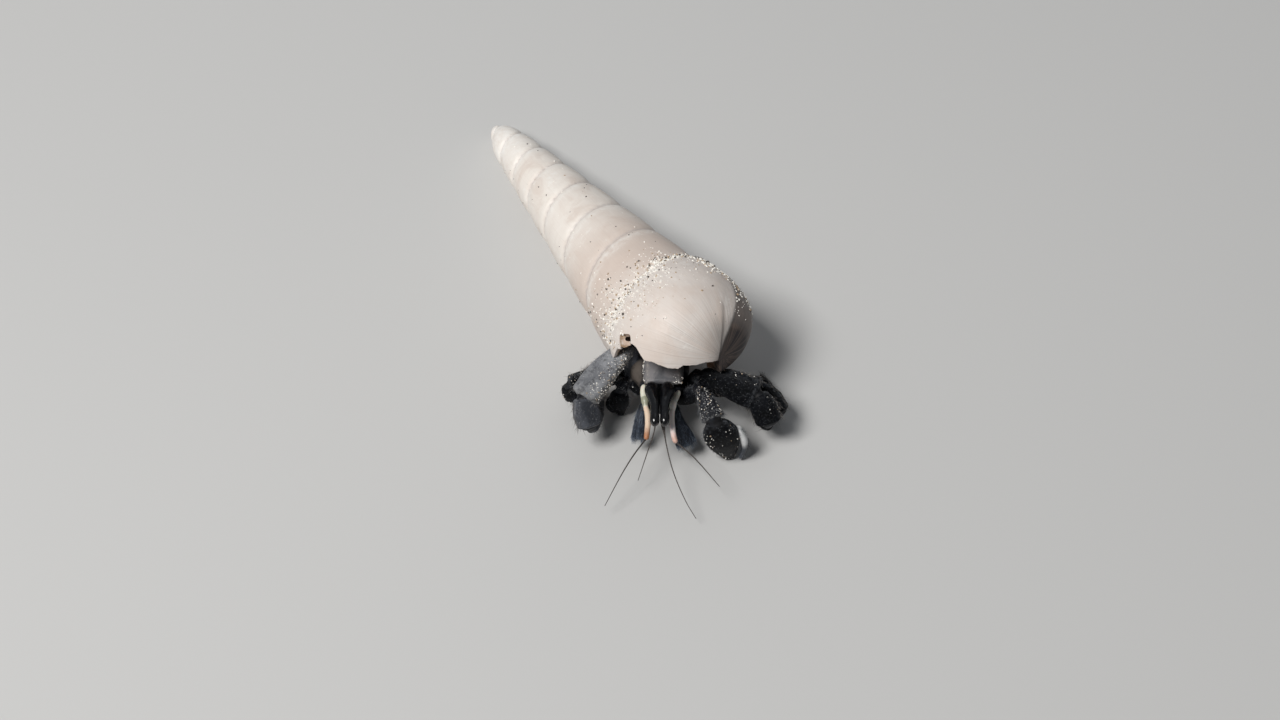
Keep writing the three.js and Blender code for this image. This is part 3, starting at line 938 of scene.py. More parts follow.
    def lip_height(self, x: Array, z: Array) -> Array:
        """Height of the lip's edge: chipped and ragged, and rising forwards from its low left corner."""
        knots = np.array(self.lip)
        height = np.interp(x, *knots.T)
        height = height + np.interp(z, *np.array(self.left_rise).T) * smooth(x, -7.4, -8.8)
        points = np.stack((x, z * 0.4, np.zeros_like(x)), axis=-1)
        return height + rough_noise(points, 0.5, 5.0) * 0.1 + rough_noise(points, 0.22, 8.0) * 0.06

    def pillar(self, z: Array) -> Array:
        """How far right the mouth reaches; its pillar comes in from the right towards the canal."""
        return 4.0 - 3.0 * smooth(z, 57.0, 65.5)

    def opening(self) -> bmesh.types.BMesh:
        """The block that opens the mouth: a sheet under the lip, drawn out to a low corner."""
        roof, bend, wall = 150, 20, 40
        top = self.lip_back + 19.0

        def back(height: Array) -> Array:
            """Where the mouth starts along the axis; further back low down, where the legs come out."""
            return self.mouth_back + (self.lip_back - self.mouth_back) * smooth(height, -1.2, 1.2)

        bm = bmesh.new()
        bmesh.ops.create_grid(bm, x_segments=roof + bend + wall, y_segments=44, size=0.5)
        flat = np.array([vertex.co for vertex in bm.verts])
        column = np.rint((flat[:, 0] + 0.5) * (roof + bend + wall))
        share = flat[:, 1] + 0.5
        z = self.lip_back + share * (top - self.lip_back)
        corner = 0.6 + 2.0 * smooth(z, 65.0, 57.0)
        x = -self.mouth_reach + (self.pillar(z) - corner + self.mouth_reach) * np.clip(column / roof, 0, 1)
        curl = np.clip((column - roof) / bend, 0, 1)
        y = self.lip_height(x, z) - corner * curl ** 2
        x = x + corner * curl * (2 - curl)
        y = y - (y + self.mouth_reach) * np.clip((column - roof - bend) / wall, 0, 1)
        points = np.column_stack((x, y, back(y) + share * (top - back(y))))
        move(bm.verts, self.to_drawing(points), floor=False)
        faces, drawn = bm.faces[:], 0.0
        for part in (0.06, 0.13, 0.22, 0.35, 1.0):
            grown = bmesh.ops.extrude_face_region(bm, geom=faces)["geom"]
            if drawn:
                bmesh.ops.delete(bm, geom=faces, context="FACES_ONLY")
            faces = [item for item in grown if isinstance(item, bmesh.types.BMFace)]
            ring = [item for item in grown if isinstance(item, bmesh.types.BMVert)]
            local = self.to_local(np.array([vertex.co for vertex in ring]) / MM - DRAWING_TO_FRAME)
            share = (local[:, 2] - back(local[:, 1])) / (top - back(local[:, 1]))
            local[:, :2] = (local[:, :2] + self.mouth_reach) * (1 - part) / (1 - drawn) - self.mouth_reach
            local[:, 2] = back(local[:, 1]) + share * (top - back(local[:, 1]))
            move(ring, self.to_drawing(local), floor=False)
            drawn = part
        bmesh.ops.remove_doubles(bm, verts=bm.verts, dist=WELD)
        bmesh.ops.recalc_face_normals(bm, faces=bm.faces)
        return bm

    def vault(self) -> bmesh.types.BMesh:
        """The hollow inside the body whorl, which leaves a thin lip and a thicker wall behind it."""
        def inner(z: Array, turn: Array) -> Array:
            """A point on the inner face, held left of the pillar."""
            thicker = (self.deep_wall - self.lip_wall) * smooth(z, 62.0, 55.0) * smooth(z, 56.5, 57.2)
            wall = self.lip_wall + thicker
            radius = np.maximum(self.radius(z, turn) - wall, 0.2)
            angle = turn * 2 * math.pi
            x = np.minimum(radius * np.sin(angle), self.pillar(z))
            return np.stack((x, radius * np.cos(angle), z), axis=-1)
        return self.closed_lathe(self.mouth_back, self.vault_end, 96, 60, inner)

    def ball(self, bite: Bite) -> bmesh.types.BMesh:
        """The body that takes a bite out, in the drawing."""
        bm = bmesh.new()
        bmesh.ops.create_icosphere(bm, subdivisions=5, radius=1.0)
        local = np.array([vertex.co for vertex in bm.verts])
        boxy = (np.abs(local) ** 5).sum(axis=1, keepdims=True) ** -0.2
        local = local * (1 + (boxy - 1) * bite.square)
        lumps = 1 + 0.05 * rough_noise(local, 0.35, bite.centre[0])[:, None]
        if bite.square:
            points = self.to_drawing(bite.centre) + (local * lumps * bite.radii) @ np.array(self.box_axes)
        else:
            points = self.to_drawing(local * lumps * bite.radii + bite.centre)
        move(bm.verts, points, floor=False)
        return bm

    def build(self) -> bpy.types.Mesh:
        """Cuts the mouth out of the closed lathe.

        Returns:
            The shell's mesh, in metres.
        """
        outer = self.closed_lathe(self.worn_from, self.front_to, self.around, self.along, self.face)
        bites = (self.throat, self.canal_nick, self.recess, self.recess_hole)
        cutters = (self.opening(), self.vault(), *(self.ball(bite) for bite in bites))
        return cut(outer, cutters, "shell_auger")

    def dress(self, mesh: bpy.types.Mesh) -> bpy.types.Object:
        """Gives the shell its numbers and finish.

        Args:
            mesh: the cut shell.

        Returns:
            The piece.
        """
        co = np.zeros(len(mesh.vertices) * 3)
        mesh.vertices.foreach_get("co", co)
        local = self.to_local(co.reshape(-1, 3) / MM - DRAWING_TO_FRAME)
        x, y, z = local.T
        turn = np.arctan2(x, y) / (2 * math.pi)
        whorl = self.whorl_number(z, turn)
        share = whorl - np.floor(whorl)
        gap = np.where(whorl > 0, np.minimum(share, 1 - share), np.abs(whorl))
        band = np.where(whorl > 0, 1 - share, -whorl * 1.4)
        depth = self.radius(z, turn) - np.hypot(x, y)
        shifted = np.arctan2(x - 1.5 * smooth(z, 52, 66), y - 2.3 * smooth(z, 52, 66))
        growth = np.stack((np.sin(shifted), np.cos(shifted), z), axis=-1)
        inside = smooth(depth, 0.35, 0.5)
        past_break = turn - self.break_line(z)
        second_line = np.interp(z, (61.5, 62.8, 65.9), (0.078, 0.073, 0.059))

        def near(centre: Point, size: float) -> Array:
            """1 at a point of the shell's own frame, falling off round it."""
            return np.exp(-((local - centre) ** 2).sum(axis=1) / size ** 2)

        off_recess = np.linalg.norm((local - self.recess.centre)[:, 1:], axis=1)
        in_recess = smooth(depth, 0.03, 0.12) * (off_recess < 1.9) * (x < 0)
        off_belly = smooth(turn, 0.47, 0.38)
        sunk = smooth(depth, 0.05, 0.2)
        numbers = {
            "growth": growth,
            "forward": smooth(z, 26.0, 52.0) * 0.95,
            "older": smooth(z, 30.0, 42.0) * smooth(z, 52.0, 46.0),
            # Paler band at the sutures and a pale ring in the recess; the paler tip is painted light.
            "pale_band": np.exp(-((band - 0.13) / 0.1) ** 2) * 0.65 + smooth(z, 14.0, 2.0)
            + in_recess * np.exp(-((off_recess - 0.95) / 0.1) ** 2),
            # Suture band: partly sand, partly painted shade in the suture and in the hollow in front of the
            # last suture.
            "suture": np.exp(-(gap / 0.025) ** 2)
            + 0.8 * np.exp(-((whorl + 0.07) / 0.06) ** 2) * smooth(turn, 0.0, -0.12),
            "lined": (0.1 + 0.7 * near((1.5, 2.3, 66.3), 6.0) + 0.45 * near((-10.5, 2.0, 54.0), 4.0)
                      + 0.3 * smooth(z, 60.0, 64.0)) * (1 - 0.85 * smooth(past_break, -0.02, 0.01)),
            # Painted shade: the recess hole, the low body whorl towards the crease and past the growth break,
            # and a dark line along a second crease.
            "deep_side": np.clip(
                near(self.recess_hole.centre, 0.75) * smooth(depth, 1.0, 1.3)
                + 0.5 * smooth(z, 63.3, 65.6) * smooth(turn, -0.06, 0.08) * off_belly
                + smooth(past_break, -0.004, 0.008) * smooth(z, 62.5, 66.2) * off_belly
                + 0.5 * np.exp(-((turn - second_line) / 0.0045) ** 2) * smooth(z, 61.5, 63.0), 0, 1),
            # Older shell past the growth break, plus painted shade: a soft darkening across the right of the
            # body whorl and the lobe under the lip.
            "old_side": np.clip(
                smooth(past_break, -0.004, 0.006) * smooth(z, 50.0, 58.0) * off_belly
                + 0.16 * smooth(z, 55.0, 61.0) * smooth(turn, -0.06, 0.09) * off_belly
                + near((1.6, 0.2, 65.6), 1.6), 0, 1),
            "inside": inside,
            "stain": near((2.9, 3.3, 66.0), 0.6) + near((-3.4, 2.9, 65.9), 0.8) * sunk
            + in_recess * smooth(off_recess, 1.0, 1.2) * smooth(z, 58.6, 57.6)
            + 0.8 * near((-9.3, 4.0, self.lip_back), 3.4) * sunk * ((off_recess > 1.7) | (x > 0)),
        }
        for polygon in mesh.polygons:
            polygon.use_smooth = True
        mesh.set_sharp_from_angle(angle=math.radians(self.crisp_angle))
        return dress(mesh, ShellFinish().material(), "shell", ("shell",), numbers)


def cut(body: bmesh.types.BMesh, cutters: Sequence[bmesh.types.BMesh], name: str) -> bpy.types.Mesh:
    """Cuts closed bodies out of a closed body.

    Args:
        body: what is cut.
        cutters: what is taken away.
        name: name of the new mesh.

    Returns:
        The cut mesh.
    """
    objects = [scene_object(f"{name}_{place}", bm) for place, bm in enumerate((body, *cutters))]
    for cutter in objects[1:]:
        modifier = objects[0].modifiers.new(cutter.name, "BOOLEAN")
        modifier.operation = "DIFFERENCE"
        modifier.solver = "MANIFOLD"
        modifier.object = cutter
    result = evaluated(objects[0])
    for item in objects:
        discard(item)
    result.name = name
    return result


# ---------------------------------------------------------------- limbs and plates


@dataclass
class Plate:
    """One horny segment: an oval tube laid along a path and closed at both ends."""

    name: str
    path: Sequence[Point]
    across: Sequence[float]
    deep: Sequence[float]
    faces: Point
    ends: tuple[float, float] = (0.2, 0.2)
    square: float = 0.0
    lumps: float = 0.03
    around: int = 40
    along: int = 44
    slot: str = "leg"
    margin: float = 0.0
    rough_turns: Callable[[Array, Array], Array] = lambda turn, share: np.ones_like(turn)
    line: Path = field(init=False)

    def __post_init__(self) -> None:
        """Samples the path."""
        self.line = Path(self.path)

    def frame_at(self, share: Array) -> tuple[Array, Array, Array]:
        """Centre, across direction and deep direction at shares of the length."""
        along = self.line.along(share)
        faces = unit(np.array(self.faces))
        deep = unit(faces - along * (along @ faces)[:, None])
        return self.line.at(share), np.cross(along, deep), deep

    def surface(self, turn: Array, share: Array, grow: float = 0.0) -> Array:
        """Points on the plate's face.

        Args:
            turn: turns round it, 0 on the side that it faces.
            share: shares of its length.
            grow: how far outside the face.

        Returns:
            The points, in millimetres.
        """
        centre, across_axis, deep_axis = self.frame_at(share)
        angle = turn * 2 * math.pi
        sine, cosine = np.sin(angle), np.cos(angle)
        swell = (np.abs(sine) ** 4 + np.abs(cosine) ** 4) ** -0.25
        swell = 1 + (swell - 1) * self.square
        rounding = end_rounding(share, self.ends[0]) * end_rounding(1 - share, self.ends[1])
        wide = sizes_at(self.across, share) / 2 * rounding * swell + grow
        high = sizes_at(self.deep, share) / 2 * rounding * swell + grow
        return centre + across_axis * (sine * wide)[:, None] + deep_axis * (cosine * high)[:, None]

    def normal(self, turn: Array, share: Array) -> Array:
        """Outward directions on the plate's face."""
        step = 0.01
        round_it = self.surface(turn + step, share) - self.surface(turn - step, share)
        past, short = np.minimum(share + step, 1), np.maximum(share - step, 0)
        return unit(np.cross(round_it, self.surface(turn, past) - self.surface(turn, short)))

    def build(self) -> Mesh:
        """Rolls the plate out of a grid and gives it its lumps."""
        def place(turn: Array, share: Array) -> Array:
            """One grid point, closer together at both ends."""
            eased = 0.5 - 0.5 * np.cos(math.pi * share)
            points = self.surface(turn, eased)
            centre = self.line.at(eased)
            outward = unit(points - centre)
            relief = rough_noise(points, 0.9) * self.lumps
            relief = relief + rough_noise(points, 0.4, 3.0) * self.lumps * 0.5
            relief = relief * np.minimum(np.linalg.norm(points - centre, axis=1) / 0.6, 1)
            return points + outward * relief[:, None]
        return Mesh(f"{self.name}_plate", rolled(self.around, self.along, place))

    def numbers(self, points: Array) -> dict[str, Array]:
        """What the finishes read: the share of the length, roughness, worn edges and joints."""
        steps = 119
        samples = self.line.at(np.linspace(0, 1, steps + 1))
        nearest = np.linalg.norm(points[:, None] - samples[None], axis=2).argmin(axis=1)
        share = nearest / steps
        centre, across_axis, deep_axis = self.frame_at(share)
        offset = points - centre
        turn = np.arctan2((offset * across_axis).sum(1), (offset * deep_axis).sum(1)) / (2 * math.pi)
        off_margin = np.abs((turn - self.margin + 0.25) % 0.5 - 0.25)
        edge = np.exp(-(off_margin / 0.05) ** 2) * 0.6 + smooth(share, 0.9, 1.0) * 0.7
        return {"share": share, "rough": self.rough_turns(turn, share), "edge": np.clip(edge, 0, 1)}

    def dress(self, finish: Any) -> bpy.types.Object:
        """Builds the plate and dresses it in a material."""
        mesh = self.build()
        numbers = self.numbers(mesh.positions())
        return mesh.finish(finish, self.slot, (self.name,), numbers)


def end_rounding(share: Array, part: float) -> Array:
    """0 at a pole, 1 once past the given part of the length."""
    left = 1 - np.minimum(share / part, 1)
    return np.sqrt(np.maximum(1 - left * left, 0))


# ---------------------------------------------------------------- bristles and grains


@dataclass(frozen=True)
class Fringe:
    """A run of bristles on a plate."""

    turns: tuple[float, float]
    shares: tuple[float, float]
    count: int
    length: tuple[float, float]
    lean: float = 0.5
    thick: float = 0.045
    spread: float = 0.25


@dataclass
class Bristles:
    """All the bristles of one region, in one mesh."""

    name: str
    slot: str
    seed: int
    roots: list[Array] = field(default_factory=list)
    aims: list[Array] = field(default_factory=list)
    bends: list[Array] = field(default_factory=list)
    lengths: list[Array] = field(default_factory=list)
    thicks: list[Array] = field(default_factory=list)
    patches: list[Array] = field(default_factory=list)
    tiles: int = 6
    patch: float = 0.003

    def grow(self, plate: Plate, fringe: Fringe) -> None:
        """Sets one fringe on a plate."""
        rng = np.random.default_rng(self.seed + 97 * len(self.roots))
        count = fringe.count
        turn = rng.uniform(*fringe.turns, count)
        share = rng.uniform(*fringe.shares, count)
        root = plate.surface(turn, share, -0.05)
        out = plate.normal(turn, share)
        along = plate.line.along(share)
        stray = rng.normal(0, fringe.spread, (count, 3))
        aim = unit(out * (1 - fringe.lean) + along * fringe.lean + stray)
        self.roots.append(root)
        self.aims.append(aim)
        self.bends.append(unit(along - out * 0.4) * rng.uniform(0.05, 0.3, count)[:, None])
        self.lengths.append(rng.uniform(*fringe.length, count))
        self.thicks.append(rng.uniform(0.7, 1.2, count) * fringe.thick)
        tile = len(self.roots) % (self.tiles * self.tiles)
        corner = np.array((tile % self.tiles, tile // self.tiles), float) + 0.05
        inside = 0.9 * np.stack(((turn + 1) % 1, share), axis=-1)
        self.patches.append((corner + inside) / self.tiles)

    @staticmethod
    def blade() -> tuple[Array, list[tuple[int, ...]]]:
        """One bristle, one long along Z: a three-sided spike with a bend in it."""
        bm = bmesh.new()
        bmesh.ops.create_cone(bm, cap_ends=True, segments=3, radius1=1.0, radius2=0.12, depth=1.0)
        bmesh.ops.translate(bm, verts=bm.verts, vec=(0, 0, 0.5))
        sides = [edge for edge in bm.edges if abs(edge.verts[0].co.z - edge.verts[1].co.z) > 0.5]
        bmesh.ops.subdivide_edges(bm, edges=sides, cuts=2)
        bmesh.ops.triangulate(bm, faces=bm.faces)
        return small_shape(bm)

    def dress(self, finish: BristleFinish) -> bpy.types.Object:
        """Joins the bristles and dresses them.

        Args:
            finish: what they are dressed in.

        Returns:
            The piece.
        """
        blade, faces = self.blade()
        root, aim, bend = (np.concatenate(part) for part in (self.roots, self.aims, self.bends))
        length, thick = (np.concatenate(part)[:, None, None] for part in (self.lengths, self.thicks))
        patch = np.concatenate(self.patches)
        side = unit(np.cross(aim, np.array((0.31, 0.47, 0.83))))
        other = np.cross(aim, side)
        x, y, z = (blade[None, :, axis, None] for axis in range(3))
        points = (root[:, None] + (side[:, None] * x + other[:, None] * y) * thick
                  + (aim[:, None] * z + bend[:, None] * z ** 2) * length)
        across = blade[None, :, :2] * self.patch / 2
        uv = np.broadcast_to(patch[:, None], (len(root), len(blade), 2)) + across
        tone = np.broadcast_to(blade[None, :, 2], (len(root), len(blade)))
        mesh = joined(self.name, points, faces)
        layer = mesh.uv_layers.new(name="OFBake")
        index = np.zeros(len(mesh.loops), int)
        mesh.loops.foreach_get("vertex_index", index)
        layer.data.foreach_set("uv", uv.reshape(-1, 2)[index].astype(np.float32).ravel())
        return dress(mesh, finish.material(), self.slot, (), {"tone": tone.ravel()})


def joined(name: str, points: Array, faces: Sequence[tuple[int, ...]]) -> bpy.types.Mesh:
    """Joins copies of one small shape.

    Args:
        name: the mesh's name.
        points: for each copy, where its vertices are, in millimetres of the drawing.
        faces: the shape's faces.

    Returns:
        The joined mesh, in metres.
    """
    count, each = points.shape[:2]
    placed = to_frame(points.reshape(-1, 3))
    starts = (np.arange(count) * each)[:, None, None]
    index = (np.array(faces)[None] + starts).reshape(-1, len(faces[0]))
    mesh = bpy.data.meshes.new(name)
    mesh.from_pydata(placed.tolist(), [], index.tolist())
    mesh.update()
    return mesh


@dataclass
class Grains:
    """Sand grains that cling to a surface."""

    name: str
    slot: str
    seed: int
    centres: list[Array] = field(default_factory=list)
    sizes: list[Array] = field(default_factory=list)
    tones: list[Array] = field(default_factory=list)
    dark_tone: float = 0.22

    def scatter(self, centres: Array, sizes: tuple[float, float], dark: float = 0.3) -> None:
        """Adds grains.

        Args:
            centres: where they lie, in millimetres of the drawing.
            sizes: least and greatest half size.
            dark: share of them that is black.
        """
        rng = np.random.default_rng(self.seed + 31 * len(self.centres))
        count = len(centres)
        self.centres.append(centres)
        self.sizes.append(sizes[0] + (sizes[1] - sizes[0]) * rng.random(count) ** 2)
        tone = rng.random(count)
        self.tones.append(np.where(tone < dark, self.dark_tone, 0.4 + 0.6 * rng.random(count)))

    def dress(self) -> bpy.types.Object:
        """Joins the grains and dresses them."""
        rng = np.random.default_rng(self.seed)
        bm = bmesh.new()
        bmesh.ops.create_icosphere(bm, subdivisions=1, radius=1.0)
        ball, faces = small_shape(bm)
        centres, sizes, tones = (np.concatenate(part) for part in (self.centres, self.sizes, self.tones))
        count = len(centres)
        lumps = rng.uniform(0.7, 1.3, (count, len(ball), 1)) * rng.uniform(0.65, 1.2, (count, 1, 3))
        spin = unit(rng.normal(size=(count, 3)))
        other = unit(np.cross(spin, rng.normal(size=(count, 3))))
        axes = np.stack((spin, other, np.cross(spin, other)), axis=1)
        turned = np.einsum("nvi,nij->nvj", ball[None] * lumps, axes)
        points = centres[:, None] + turned * sizes[:, None, None]
        mesh = joined(self.name, points, faces)
        tone = np.broadcast_to(tones[:, None], (count, len(ball)))
        return dress(mesh, SandFinish().material(), self.slot, (), {"tone": tone.ravel()})


# ---------------------------------------------------------------- the crab's parts


class Side(Enum):
    """The crab's own sides."""

    LEFT = 1
    RIGHT = -1

    @property
    def label(self) -> str:
        """The side's name in the solids' names."""
        return self.name.lower()


# The first three plate finishes below are one grey plate colour at three levels of painted light: the paler
# one is painted light for the lit merus of the right front leg, slate is a middle tone for that leg's other
# plates, and the darkest is painted shade for the claws and the legs of the crab's left side.
PAINTED_LIT_SLATE = PlateFinish("plate_pale_slate", rgb(112, 114, 119), rgb(148, 150, 154), rgb(196, 195, 193),
                         grains=0.9, grain_size=0.24, relief=0.08, blotches=0.5, dusky_end=0.3)
SLATE = PlateFinish("plate_slate", rgb(48, 51, 57), rgb(78, 81, 88), rgb(160, 160, 162), grains=0.5)
PAINTED_SHADE_PLATE = PlateFinish("plate_night", rgb(4, 5, 7), rgb(10, 12, 17), rgb(104, 107, 112), grains=0.35, gloss=0.08,
                    shine=0.1)
SHIELD_GREY = PlateFinish("plate_shield", rgb(86, 87, 91), rgb(122, 120, 122), rgb(160, 154, 148),
                          grains=0.15, relief=0.025, gloss=0.3)
ICE = PlateFinish("plate_ice", rgb(30, 34, 42), rgb(62, 68, 78), rgb(242, 243, 242), grains=0.7,
                  grain_size=0.22, frost=0.9)
DUSK = PlateFinish("plate_dusk", rgb(10, 11, 15), rgb(34, 36, 42), rgb(186, 187, 188), grains=1.0,
                   relief=0.08, shine=0.15, blotches=0.5)
BRUSH = PlateFinish("plate_brush", rgb(16, 19, 26), rgb(30, 37, 48), rgb(84, 96, 112), grains=0.6)


@dataclass
class Head:
    """Shield, eyes, feelers and mouthparts."""

    middle: float = 2.85
    eye_spacing: float = 1.02
    shield_middle: float = 3.4
    shield_arch: float = 0.075
    shield_ridge: float = 2.35
    whip: float = 0.24
    stem_joints: tuple[float, float] = (0.22, 0.4)

    def shield(self) -> Plate:
        """The hard front plate of the back."""
        return Plate("shield", ((3.35, -13.6, 10.9), (self.shield_middle, -10.6, 11.3), (3.3, -6.4, 11.2)),
                     (5.3, 5.9, 5.9, 5.2, 4.2), (1.1, 1.3, 1.3, 1.1), (0, 0, 1), (0.07, 0.2),
                     square=0.5, lumps=0.02, around=72, along=60, slot="plate",
                     rough_turns=lambda turn, share: smooth(share, 0.3, 0.0) * 0.8)

    def arch(self, points: Array) -> Array:
        """How far the shield falls at points on either side of its middle line."""
        return self.shield_arch * (points[:, 0] - self.shield_middle) ** 2

    def dress_shield(self) -> bpy.types.Object:
        """Builds the shield: arched across, with a lengthwise ridge over each flank."""
        plate = self.shield()
        mesh = plate.build()
        points = mesh.positions()
        offset = points[:, 0] - self.shield_middle
        numbers = plate.numbers(points)
        points[:, 2] -= self.arch(points)
        points[:, 2] += 0.14 * np.exp(-((np.abs(offset) - self.shield_ridge) / 0.2) ** 2)
        points[:, 2] -= 0.05 * np.exp(-(offset / 0.18) ** 2)
        move(mesh.bm.verts, points)
        numbers["edge"] = np.exp(-((np.abs(offset) - self.shield_ridge) / 0.25) ** 2)
        return mesh.finish(SHIELD_GREY.material(), "plate", ("shield",), numbers)

    def eyestalk(self, side: Side) -> Plate:
        """An eyestalk, stout at its base and slimmer towards the eye."""
        x, out = self.middle + side.value * self.eye_spacing, side.value
        return Plate(f"eyestalk_{side.label}",
                     ((x + out * 0.15, -13, 10.5), (x + out * 0.1, -14.9, 10.6), (x - out * 0.25, -17, 10.6),
                      (x - out * 0.3, -19.4, 10.2)),
                     (1.7, 2.1, 1.6, 1.28, 1.3), (1.6, 2.1, 1.7, 1.45, 1.42), (0, 0, 1), (0.2, 0.02),
                     lumps=0.02, slot="eyestalk")

    def cornea(self, side: Side) -> Plate:
        """The eye at the end of its stalk."""
        x = self.middle + side.value * (self.eye_spacing - 0.3)
        return Plate(f"cornea_{side.label}", ((x, -19.1, 10.24), (x, -20.8, 9.9)),
                     (1.33, 1.4, 1.32), (1.46, 1.52, 1.4), (0, 0, 1), (0.02, 0.6), lumps=0.0, slot="eye")

    def peduncle(self, side: Side) -> Plate:
        """The jointed base of an antenna."""
        path, across = {
            Side.LEFT: (((5.7, -13.3, 8.9), (5.35, -14.2, 8.7), (4.8, -15.5, 8.5), (4.75, -16.4, 8.3),
                         (4.6, -17.5, 8), (4.7, -19.1, 7.6), (4.95, -20.7, 7.2), (5.25, -21.6, 7)),
                        (0.9, 0.86, 0.92, 1.08, 0.74, 0.86, 0.86, 0.83, 0.8, 0.78, 0.72)),
            Side.RIGHT: (((0.62, -12.4, 9.2), (0.5, -13.6, 8.9), (0.72, -14.9, 8.6), (0.82, -15.8, 8.3),
                          (1.1, -17, 8.05), (1.16, -18.3, 7.75), (1.03, -19.8, 7.35), (0.88, -21, 7)),
                         (1.0, 0.95, 1.02, 1.16, 0.78, 0.88, 0.9, 0.88, 0.84, 0.8, 0.74)),
        }[side]
        return Plate(f"antenna_{side.label}_peduncle", path, across, across, (0, 0, 1), (0.08, 0.05),
                     lumps=0.015, around=28, along=110, slot="peduncle")

    def feeler(self, name: str, path: Sequence[Point], root: float) -> Plate:
        """A thin ringed whip that tapers from its root, which is stout on an antennule."""
        sizes = [root * (1 - 0.6 * step / 11) for step in range(12)]
        if "antennule" in name:
            sizes[:4] = [0.9, 0.9, 0.8, 0.3]
        return Plate(name, path, sizes, sizes, (0, 0, 1), (0.01, 0.01), lumps=0.0,
                     around=10, along=150, slot="feeler")

    def maxilliped(self, side: Side) -> Plate:
        """A third maxilliped, which flares to a brush below the feelers."""
        if side is Side.LEFT:
            path, spread = ((4.9, -13.9, 7.2), (5.7, -16.6, 5.3), (6.9, -19.1, 3.1)), 3.3
        else:
            path, spread = ((0.7, -13.9, 7.2), (0, -16.1, 5.3), (-0.3, -17.9, 3.2)), 2.2
        return Plate(f"maxilliped_{side.label}", path, (1.1, 1.5, spread * 0.8, spread),
                     (1.2, 1.3, 1.3, 1), (0, -0.6, 0.8), (0.2, 0.12), slot="mouthpart")

    def dress(self) -> dict[str, Plate]:
        """Builds and dresses the head.

        Returns:
            The plates that bristles grow on.
        """
        self.dress_shield()
        stalk = EyeFinish("eyestalk_black", rgb(10, 11, 14), rgb(24, 26, 31)).material()
        cornea = EyeFinish("cornea_black", rgb(5, 5, 7), rgb(12, 13, 16), True).material()
        # The left feeler base is painted paler than the right, as painted light against the shade that falls
        # on it.
        left = PeduncleFinish("peduncle_left", rgb(222, 219, 208), rgb(250, 243, 233), rgb(255, 242, 237),
                              rgb(206, 168, 152))
        right = PeduncleFinish("peduncle_right", rgb(226, 222, 206), rgb(160, 160, 140), rgb(232, 208, 184),
                               rgb(178, 120, 84))
        ringed = FeelerFinish().material()
        brush = BRUSH.material()
        whips = {
            "antenna_left_flagellum": ((5.2, -21.4, 7.02), (7.9, -23.6, 6), (11.5, -27.8, 4.7)),
            "antenna_right_flagellum": ((0.9, -20.8, 7.05), (-0.75, -23.1, 6.5), (-2.4, -25.7, 5.6),
                                        (-5.1, -29.7, 2.6)),
            "antennule_left": ((3.4, -15, 8.2), (3.4, -19, 7.6), (4.65, -24.7, 5.1), (6.6, -29.2, 3.1),
                               (8.1, -31.5, 1.9)),
            "antennule_right": ((2.3, -15, 8.2), (2.1, -19.4, 7.4), (1.05, -22.5, 5.9), (-0.3, -26.1, 3.9)),
        }
        plates = {}
        for side, finish in ((Side.LEFT, left), (Side.RIGHT, right)):
            self.eyestalk(side).dress(stalk)
            self.cornea(side).dress(cornea)
            stem = self.peduncle(side)
            mesh = stem.build()
            numbers = stem.numbers(mesh.positions())
            joints = sum(np.exp(-((numbers["share"] - at) / 0.015) ** 2) for at in self.stem_joints)
            mesh.finish(finish.material(), "peduncle", (stem.name,), numbers | {"joint": joints})
            plates[stem.name] = stem
            mouthpart = self.maxilliped(side)
            mouthpart.dress(brush)
            plates[mouthpart.name] = mouthpart
        for name, path in whips.items():
            self.feeler(name, path, self.whip).dress(ringed)
        return plates


@dataclass(frozen=True)
class LegShape:
    """Where one walking leg goes."""

    joints: Sequence[Point]
    faces: Point
    girth: float
    merus_faces: Optional[Point] = None


